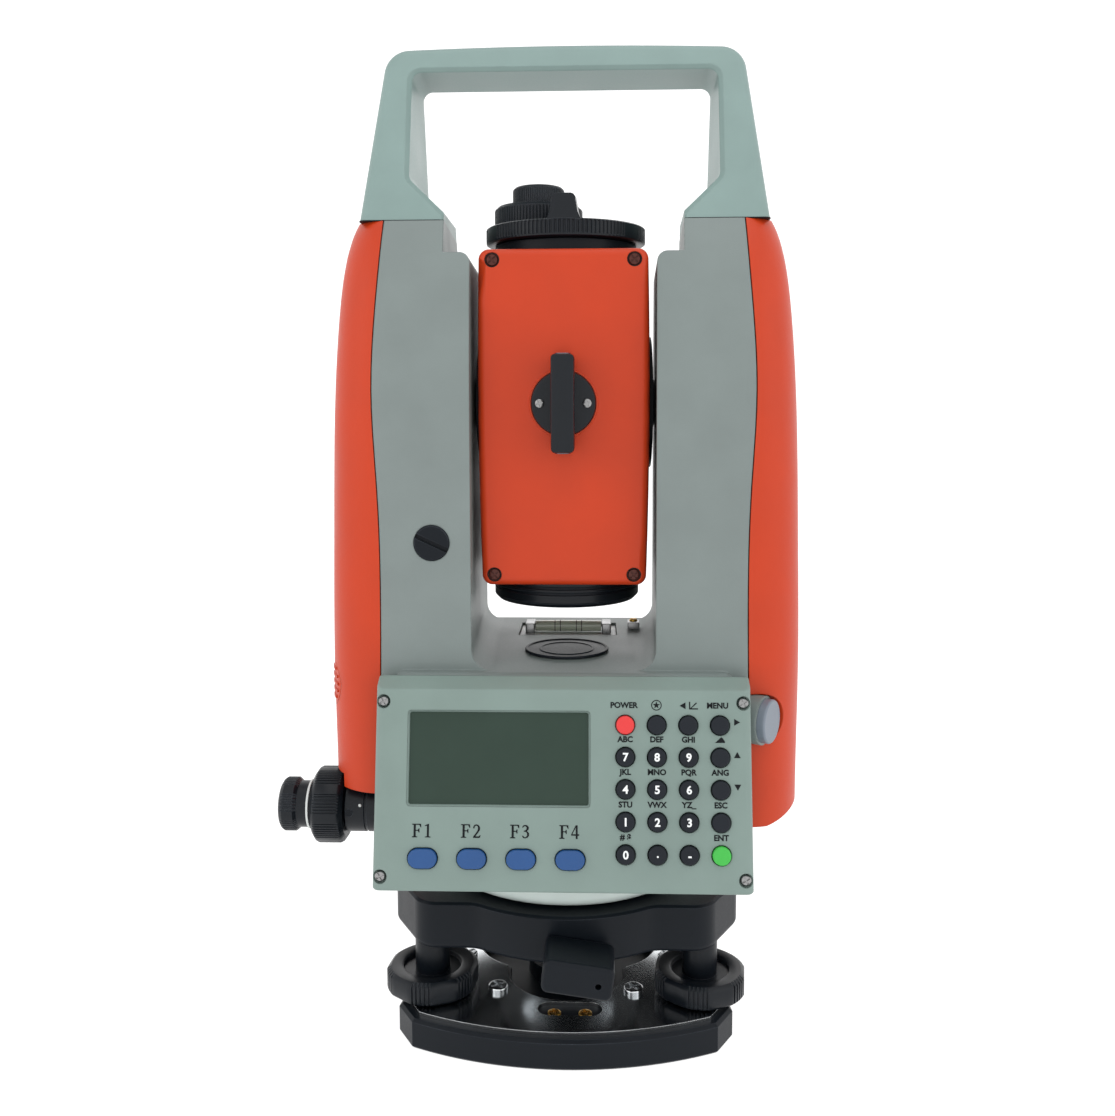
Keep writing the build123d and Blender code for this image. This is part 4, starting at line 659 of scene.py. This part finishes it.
def beside_posts(name, source, paint):
    """source without what stands between the posts, as a new Piece."""
    gap = Piece("post_gap").add(
        [(x, y, z) for z in POST_GAP_HEIGHTS for x, y in POST_GAP],
        [[0, 1, 2, 3], [4, 5, 6, 7], [0, 1, 5, 4], [1, 2, 6, 5], [2, 3, 7, 6], [3, 0, 4, 7]],
        paint)
    return Piece(name).add(*taken(cut(boolean_source(source), boolean_source(gap))), paint)


work = bmesh.new()
work.from_mesh(nodes["carry_handle"].data)
work.transform(nodes["carry_handle"].matrix_world)
bmesh.ops.remove_doubles(work, verts=work.verts, dist=1e-6)
work.verts.index_update()
handle = Piece("handle_source").add([tuple(v.co / MM) for v in work.verts],
                                    [[v.index for v in f.verts] for f in work.faces], "handle")
work.free()
beside_posts("carry_handle_flush", handle, "handle").finish(
    "alidade", "handle_grey", ["carry_handle"])

# a thin dark strip round each foot's base: painted shade standing in for the shadow in the gap
# between handle and body
seam_shade = Piece("seam_shade_source")
for side in (-1, 1):
    seam_shade.add(*block((FOOT_OUTER - FOOT_INNER + 2 * SEAM_SHADE_PROUD,
                      2 * FOOT_DEPTH + 2 * SEAM_SHADE_PROUD, SEAM_SHADE_HEIGHT), 2.2), "ink_dark",
              shifted(side * (FOOT_INNER + FOOT_OUTER) / 2, 0, BODY_TOP - SEAM_SHADE_SUNK))
beside_posts("handle_seam_shade", seam_shade, "ink_dark").finish("alidade", "handle_grey")

# ------------------------------------------------------------------------------------------
# Keyboard panel: legends, screws and the window's bezel
# ------------------------------------------------------------------------------------------
INK = 0.03  # height of the printed legends over the panel
KEY_LEFT, KEY_TOP, KEY_PITCH, KEY_FACE = 19.3, 19.9, 9.65, 1.29
SOFT_LABEL_LEFT, SOFT_LABEL_V, SOFT_KEY_PITCH = -42.5, -12.2, 15
# v on the panel of each line of legends, with the u and text of each legend in it
ROWS = {
    25.8: ((18.9, "POWER"), (47.6, "MENU")),
    15.5: ((19.3, "ABC"), (28.9, "DEF"), (38.6, "GHI")),
    5.7: ((19.3, "JKL"), (28.9, "MNO"), (38.6, "PQR"), (48.2, "ANG")),
    -4.0: ((19.3, "STU"), (28.9, "VWX"), (38.6, "YZ_"), (48.2, "ESC")),
    -13.6: ((19.3, "# $"), (48.2, "ENT")),
}
legends = Piece("panel_legends")
for v, row in ROWS.items():
    for u, text in row:
        legends.add(*lettering(text, 2.4, offset=0.08), "ink_dark", PANEL @ shifted(u, v, INK))
TRIANGLE = [(-1.0, -0.8), (1.0, -0.8), (0, 1.0)]
for u, v, turn in ((53.4, 20.9, -90), (53.4, 11.0, 0), (53.4, 1.5, 180), (37.0, 25.8, 90)):
    legends.add(*flat_shape(TRIANGLE), "ink_dark",
                PANEL @ shifted(u, v, INK) @ turned_by(turn))
# distance and elevation marks over two keys
legends.add(*flat_shape([(-1.5, -0.8), (1.5, -0.8), (1.5, -0.4), (0.9, 0.5), (0.4, 0.9)]),
            "ink_dark", PANEL @ shifted(48.2, 15.5, INK))
legends.add(*flat_shape([(-1.3, 1.2), (-0.95, 1.2), (-0.95, -0.75), (1.4, -0.75), (1.4, -1.1),
                         (-1.3, -1.1)]), "ink_dark", PANEL @ shifted(40.2, 25.8, INK))
legends.add(*flat_shape([(-0.9, -0.7), (-0.6, -0.75), (1.1, 0.75), (0.85, 1.0)]), "ink_dark",
            PANEL @ shifted(40.2, 25.8, INK))
legends.add(*turned([(1.35, 0), (1.6, 0), (1.6, 0.06), (1.35, 0.06), (1.35, 0)], circle(28)),
            "ink_dark", PANEL @ shifted(28.9, 25.9, INK))
star = []
for n in range(10):
    size, angle = (1.15, 0.45)[n % 2], math.radians(90 + 36 * n)
    star.append((size * math.cos(angle), size * math.sin(angle)))
legends.add(*flat_shape(star), "ink_dark", PANEL @ shifted(28.9, 25.9, INK))

# serif characters for the soft keys' labels, as outlines in a cap height of 1
GLYPHS = {
    "F": [[(0.05, 0), (0.45, 0), (0.45, 0.06), (0.33, 0.08), (0.33, 0.48), (0.5, 0.48),
           (0.56, 0.36), (0.61, 0.36), (0.61, 0.66), (0.56, 0.66), (0.5, 0.55), (0.33, 0.55),
           (0.33, 0.93), (0.6, 0.93), (0.7, 0.74), (0.75, 0.74), (0.73, 1), (0.05, 1),
           (0.05, 0.94), (0.17, 0.92), (0.17, 0.08), (0.05, 0.06)]],
    "1": [[(0.12, 0), (0.56, 0), (0.56, 0.05), (0.42, 0.08), (0.42, 1), (0.36, 1), (0.1, 0.88),
           (0.12, 0.83), (0.27, 0.87), (0.27, 0.08), (0.12, 0.05)]],
    "2": [[(0.06, 0), (0.56, 0), (0.63, 0.2), (0.57, 0.2), (0.5, 0.11), (0.22, 0.11),
           (0.45, 0.4), (0.57, 0.58), (0.58, 0.77), (0.5, 0.92), (0.34, 1), (0.18, 0.97),
           (0.08, 0.85), (0.06, 0.72), (0.15, 0.7), (0.17, 0.82), (0.24, 0.9), (0.33, 0.91),
           (0.42, 0.82), (0.43, 0.68), (0.38, 0.52), (0.25, 0.33), (0.06, 0.08)]],
    "3": [[(0.04, 0.17), (0.12, 0.04), (0.28, 0), (0.46, 0.05), (0.58, 0.2), (0.57, 0.4),
           (0.42, 0.54), (0.54, 0.66), (0.55, 0.84), (0.42, 0.97), (0.26, 1), (0.12, 0.94),
           (0.05, 0.82), (0.11, 0.78), (0.18, 0.88), (0.28, 0.91), (0.39, 0.82), (0.38, 0.68),
           (0.28, 0.58), (0.18, 0.57), (0.18, 0.5), (0.3, 0.49), (0.42, 0.4), (0.43, 0.22),
           (0.34, 0.09), (0.22, 0.08), (0.11, 0.21)]],
    "4": [[(0.38, 0), (0.52, 0), (0.52, 0.24), (0.38, 0.24)],
          [(0.04, 0.24), (0.64, 0.24), (0.64, 0.34), (0.04, 0.34)],
          [(0.38, 0.34), (0.52, 0.34), (0.52, 1), (0.38, 1)],
          [(0.04, 0.34), (0.12, 0.34), (0.38, 0.84), (0.38, 1)]],
}
CAP_HEIGHT = 4.0
for n in range(4):
    for glyph, shift in (("F", -0.88), (str(n + 1), 0.04)):
        for outline in GLYPHS[glyph]:
            points = [((x + shift) * CAP_HEIGHT, (y - 0.5) * CAP_HEIGHT) for x, y in outline]
            legends.add(*flat_shape(points), "ink_dark",
                        PANEL @ shifted(SOFT_LABEL_LEFT + SOFT_KEY_PITCH * n, SOFT_LABEL_V, INK))
legends.finish("alidade", "panel_grey")

# column, row and character of each marked key
KEY_LETTERS = {"key_7": (0, 1, "7"), "key_8": (1, 1, "8"), "key_9": (2, 1, "9"),
               "key_4": (0, 2, "4"), "key_5": (1, 2, "5"), "key_6": (2, 2, "6"),
               "key_1": (0, 3, "1"), "key_2": (1, 3, "2"), "key_3": (2, 3, "3"),
               "key_0": (0, 4, "0"), "key_dot": (1, 4, "."), "key_minus": (2, 4, "-")}
POINT_LIFT = 0.55  # brings the decimal point up to the middle of its key
for name, (column, row, text) in KEY_LETTERS.items():
    spot = PANEL @ shifted(KEY_LEFT + KEY_PITCH * column, KEY_TOP - KEY_PITCH * row, KEY_FACE)
    lift = POINT_LIFT if text == "." else 0.0
    Piece(f"{name}_mark").add(
        *lettering(text, 3.4, offset=0.1), "ink_white", spot @ shifted(0, lift)
    ).finish(name, "key_black")

screws = Piece("alidade_screws_detailed")
panel_head = cross_head(1.75, 1.2, turn=30)
for u in (-55.5, 55.5):
    for v in (-26.0, 26.6):
        screws.add(*panel_head, "screw", PANEL @ shifted(u, v, -1.68))
plug_profile = [(0, 0), (5.75, 0), (5.75, 4.9), (5.4, 5.3), (0, 5.3)]
plug = boolean_source(Piece("plug").add(*turned(plug_profile, circle(64)), "black"))
slot_cutter = Piece("slot").add(*block((13, 1.5, 4)), "black",
                                shifted(0, 0, 4.0) @ turned_by(-25))
plug = cut(plug, boolean_source(slot_cutter))
screws.add(*taken(plug), "black", plane((-41.8, -36.1, 166.0), (1, 0, 0), (0, -1, 0)))
screws.finish("alidade", "steel", ["alidade_screws"])


def frame_ring(width, height, rim, low, high, corner):
    """A rectangular bezel that slopes inwards from its outer edge."""
    vertices, faces = [], []
    steps = 5
    for inset, z in ((0, low), (0, high), (rim, low)):
        vertices += rounded_rectangle(width - 2 * inset, height - 2 * inset,
                                      max(corner - inset, 0.05), z, steps)
    count = 4 * (steps + 1)
    for first, second in ((0, 1), (1, 2), (2, 0)):
        faces += [[first * count + n, first * count + (n + 1) % count,
                   second * count + (n + 1) % count, second * count + n] for n in range(count)]
    return vertices, faces


Piece("window_bezel").add(
    *frame_ring(56.3, 28.9, 0.55, -0.92, 0.03, 1.2), "panel",
    PANEL @ shifted(-19.6, 9.5)
).finish("alidade", "panel_grey")

# ------------------------------------------------------------------------------------------
# Between the arms: plate level, its adjusting screw and the plain badge
# ------------------------------------------------------------------------------------------
level = Piece("plate_level_detailed")
LEVEL = shifted(0, 22.5, 122.8)
level.add(*block((35.6, 21.6, 1.2), 0.6), "white", LEVEL)
for end in (-1, 1):
    level.add(*block((3.4, 9.0, 3.9), 0.5, bevel=0.4), "screw", LEVEL @ shifted(end * 14.2, 0, 1.2))
vial = LEVEL @ plane((0, 0, 3.4), (0, 1, 0), (1, 0, 0))
level.add(*turned([(0, -12.3), (2.0, -12.3), (2.05, 0), (2.0, 12.3), (0, 12.3)], circle(32)),
          "vial", vial)
for mark in (-5.0, -3.0, 3.0, 5.0):
    level.add(*turned([(2.06, mark - 0.12), (2.1, mark - 0.12), (2.1, mark + 0.12),
                       (2.06, mark + 0.12), (2.06, mark - 0.12)], circle(32)), "ink_dark", vial)
level.finish("alidade", "light_grey_plastic", ["plate_level"])

fittings = Piece("floor_fittings")
fittings.add(*block((4.4, 6.0, 2.4), 0.4, bevel=0.3), "screw", shifted(24.4, 23, 125.6))
fittings.add(*cross_head(1.5, 1.0, slots=1), "brass", shifted(24.4, 23, 127.9))
BADGE = shifted(0.3, -12.5, 125.6)
fittings.add(*turned([(0, 0.1), (13.2, 0.1), (13.5, 0.45), (14.0, 0.5), (14.3, 0.3), (14.35, -0.2),
                      (0, -0.2)], circle(96)), "black", BADGE)
fittings.add(*turned([(8.6, 0.1), (8.8, 0.32), (9.4, 0.32), (9.6, 0.1), (8.6, 0.1)], circle(72)),
             "black", BADGE)
fittings.finish("alidade", "steel")

# ------------------------------------------------------------------------------------------
# Battery press button, and the circular level on the tribrach
# ------------------------------------------------------------------------------------------
BUTTON_Y, BUTTON_Z, BUTTON_RADIUS = -26.0, 118.0, 7.3
RIB_PITCH, RIB_STEPS, RIB_END = 2.4, 12, 0.6
RIB_SECTION = ((-0.3, -0.55), (0.45, -0.35), (0.45, 0.35), (-0.3, 0.55))  # height, width
CORNER = (-59.3, -22.8, 18.0)  # X, Y and radius of the cover's rounded front corner
CORNER_REACH = 0.97  # how far round the corner a rib may go, as a share of its radius


def cover_point(y, height):
    """X and Y on the left cover at the battery's height, moved outwards by height."""
    x_centre, y_centre, radius = CORNER
    if y > y_centre:
        return x_centre - radius - height, y
    turn = math.asin((y_centre - y) / radius)
    return (x_centre - (radius + height) * math.cos(turn),
            y_centre - (radius + height) * math.sin(turn))


latch = Piece("latch_ribs")
for n in range(5):
    z = BUTTON_Z + RIB_PITCH * (n - 2)
    half = math.sqrt(BUTTON_RADIUS ** 2 - (z - BUTTON_Z) ** 2) - RIB_END
    vertices = []
    for step in range(RIB_STEPS + 1):
        y = BUTTON_Y + half * (2 * step / RIB_STEPS - 1)
        y = max(y, CORNER[1] - CORNER_REACH * CORNER[2])
        for height, side in RIB_SECTION:
            vertices.append((*cover_point(y, height), z + side))
    faces = [[4 * step + k, 4 * step + (k + 1) % 4, 4 * step + 4 + (k + 1) % 4, 4 * step + 4 + k]
             for step in range(RIB_STEPS) for k in range(4)]
    faces += [[0, 1, 2, 3], [4 * RIB_STEPS + k for k in range(4)]]
    latch.add(vertices, faces, "orange")
latch.finish("battery_latch", "orange_shell")

LEVEL_ANGLE = math.radians(30)
LEVEL_DISTANCE, TRIBRACH_TOP = 46.8, 40.0
outwards = Vector((math.cos(LEVEL_ANGLE), math.sin(LEVEL_ANGLE), 0))
LEVEL_SEAT = plane(LEVEL_DISTANCE * outwards + Vector((0, 0, TRIBRACH_TOP)), outwards, (0, 0, 1))
bull = Piece("circular_level_detailed")
bull.add(*block((16.5, 16.0, 4.0), 1.4, bevel=0.4), "black", LEVEL_SEAT @ shifted(8.25, 0))
CUP = LEVEL_SEAT @ shifted(8.3, 0)
bull.add(*turned([(0, 4.0), (8.0, 4.0), (8.0, 10.4), (7.6, 11.0), (6.6, 11.0), (6.4, 10.4),
                  (6.4, 4.6), (0, 4.6)], circle(64)), "black", CUP)
bull.add(*turned([(0, 4.8), (6.35, 4.8), (6.35, 9.6), (4.5, 10.1), (0, 10.3)], circle(48)),
         "liquid", CUP)
bull.add(*turned([(2.2, 10.2), (2.2, 10.36), (2.45, 10.34), (2.45, 10.2), (2.2, 10.2)],
                 circle(40)), "ink_dark", CUP)
bull.finish("tribrach", "black_casting", ["circular_level"])

# ------------------------------------------------------------------------------------------
# Studio and camera
# ------------------------------------------------------------------------------------------
studio_paint = bpy.data.materials.new("studio_white")
studio_paint.use_nodes = True
paint_inputs = studio_paint.node_tree.nodes["Principled BSDF"].inputs
paint_inputs["Base Color"].default_value = (0.3, 0.3, 0.3, 1)
paint_inputs["Roughness"].default_value = 0.85
paint_inputs["Emission Color"].default_value = (1, 1, 1, 1)
paint_inputs["Emission Strength"].default_value = 0.88
# the pale floor that curves up into the wall, in metres
BOWL_PROFILE = [
    (0, 0), (0.5, 0), (1.0, 0), (1.3, 0.03), (1.6, 0.14), (1.85, 0.36), (2.0, 0.7), (2.05, 1.2),
    (2.05, 2.6),
]
bowl = boolean_source(Piece("studio_floor").add(*turned(BOWL_PROFILE, circle(96)), "white"))
bowl.data.polygons.foreach_set("use_smooth", [True] * len(bowl.data.polygons))
bowl.data.materials.append(studio_paint)
bowl.scale = (1 / MM, 1 / MM, 1 / MM)


# square area lights that look at the object's middle: place, size and power
OBJECT_MIDDLE = Vector((0, 0, 0.16))
SOFTBOXES = {
    "top_light": ((0.1, -0.3, 1.5), 1.3, 6),
    "left_light": ((-1.2, -0.9, 0.7), 0.9, 2),
    "right_light": ((1.2, -0.8, 0.6), 0.9, 1.4),
    "rear_light": ((0.2, 1.4, 0.9), 1.0, 2),
}
for name, (place, size, power) in SOFTBOXES.items():
    lamp = bpy.data.lights.new(name, "AREA")
    lamp.energy = power
    lamp.size = size
    holder = linked(name, lamp)
    holder.location = place
    holder.rotation_mode = "QUATERNION"
    holder.rotation_quaternion = (OBJECT_MIDDLE - Vector(place)).to_track_quat("-Z", "Y")

world = bpy.data.worlds.new("studio")
world.use_nodes = True
background = world.node_tree.nodes["Background"].inputs
background["Color"].default_value = (1, 1, 1, 1)
background["Strength"].default_value = 0.6
bpy.context.scene.world = world
bpy.context.scene.view_settings.view_transform = "Standard"

CAMERA_TURN = math.radians(2.0)  # to the object's right
CAMERA_DOWN = math.radians(5.0)
CAMERA_ROLL = math.radians(0.2)
CAMERA_DISTANCE = 0.38567
CAMERA_OFFSET = -0.00316  # sideways
CAMERA_HEIGHT = 0.2124
camera_data = bpy.data.cameras.new("camera")
camera_data.lens = 35.484
camera_data.sensor_width = 36.0
camera_data.shift_y = -66 / 1116
camera_data.clip_start = 0.01
camera_data.clip_end = 20
camera = linked("camera", camera_data)
sine, cosine = math.sin(CAMERA_TURN), math.cos(CAMERA_TURN)
camera.location = (CAMERA_DISTANCE * sine + CAMERA_OFFSET * cosine,
                   CAMERA_OFFSET * sine - CAMERA_DISTANCE * cosine, CAMERA_HEIGHT)
camera.rotation_mode = "QUATERNION"
camera.rotation_quaternion = (
    Matrix.Rotation(CAMERA_TURN, 3, "Z") @ Matrix.Rotation(math.pi / 2 - CAMERA_DOWN, 3, "X")
    @ Matrix.Rotation(-CAMERA_ROLL, 3, "Z")
).to_quaternion()
bpy.context.scene.camera = camera
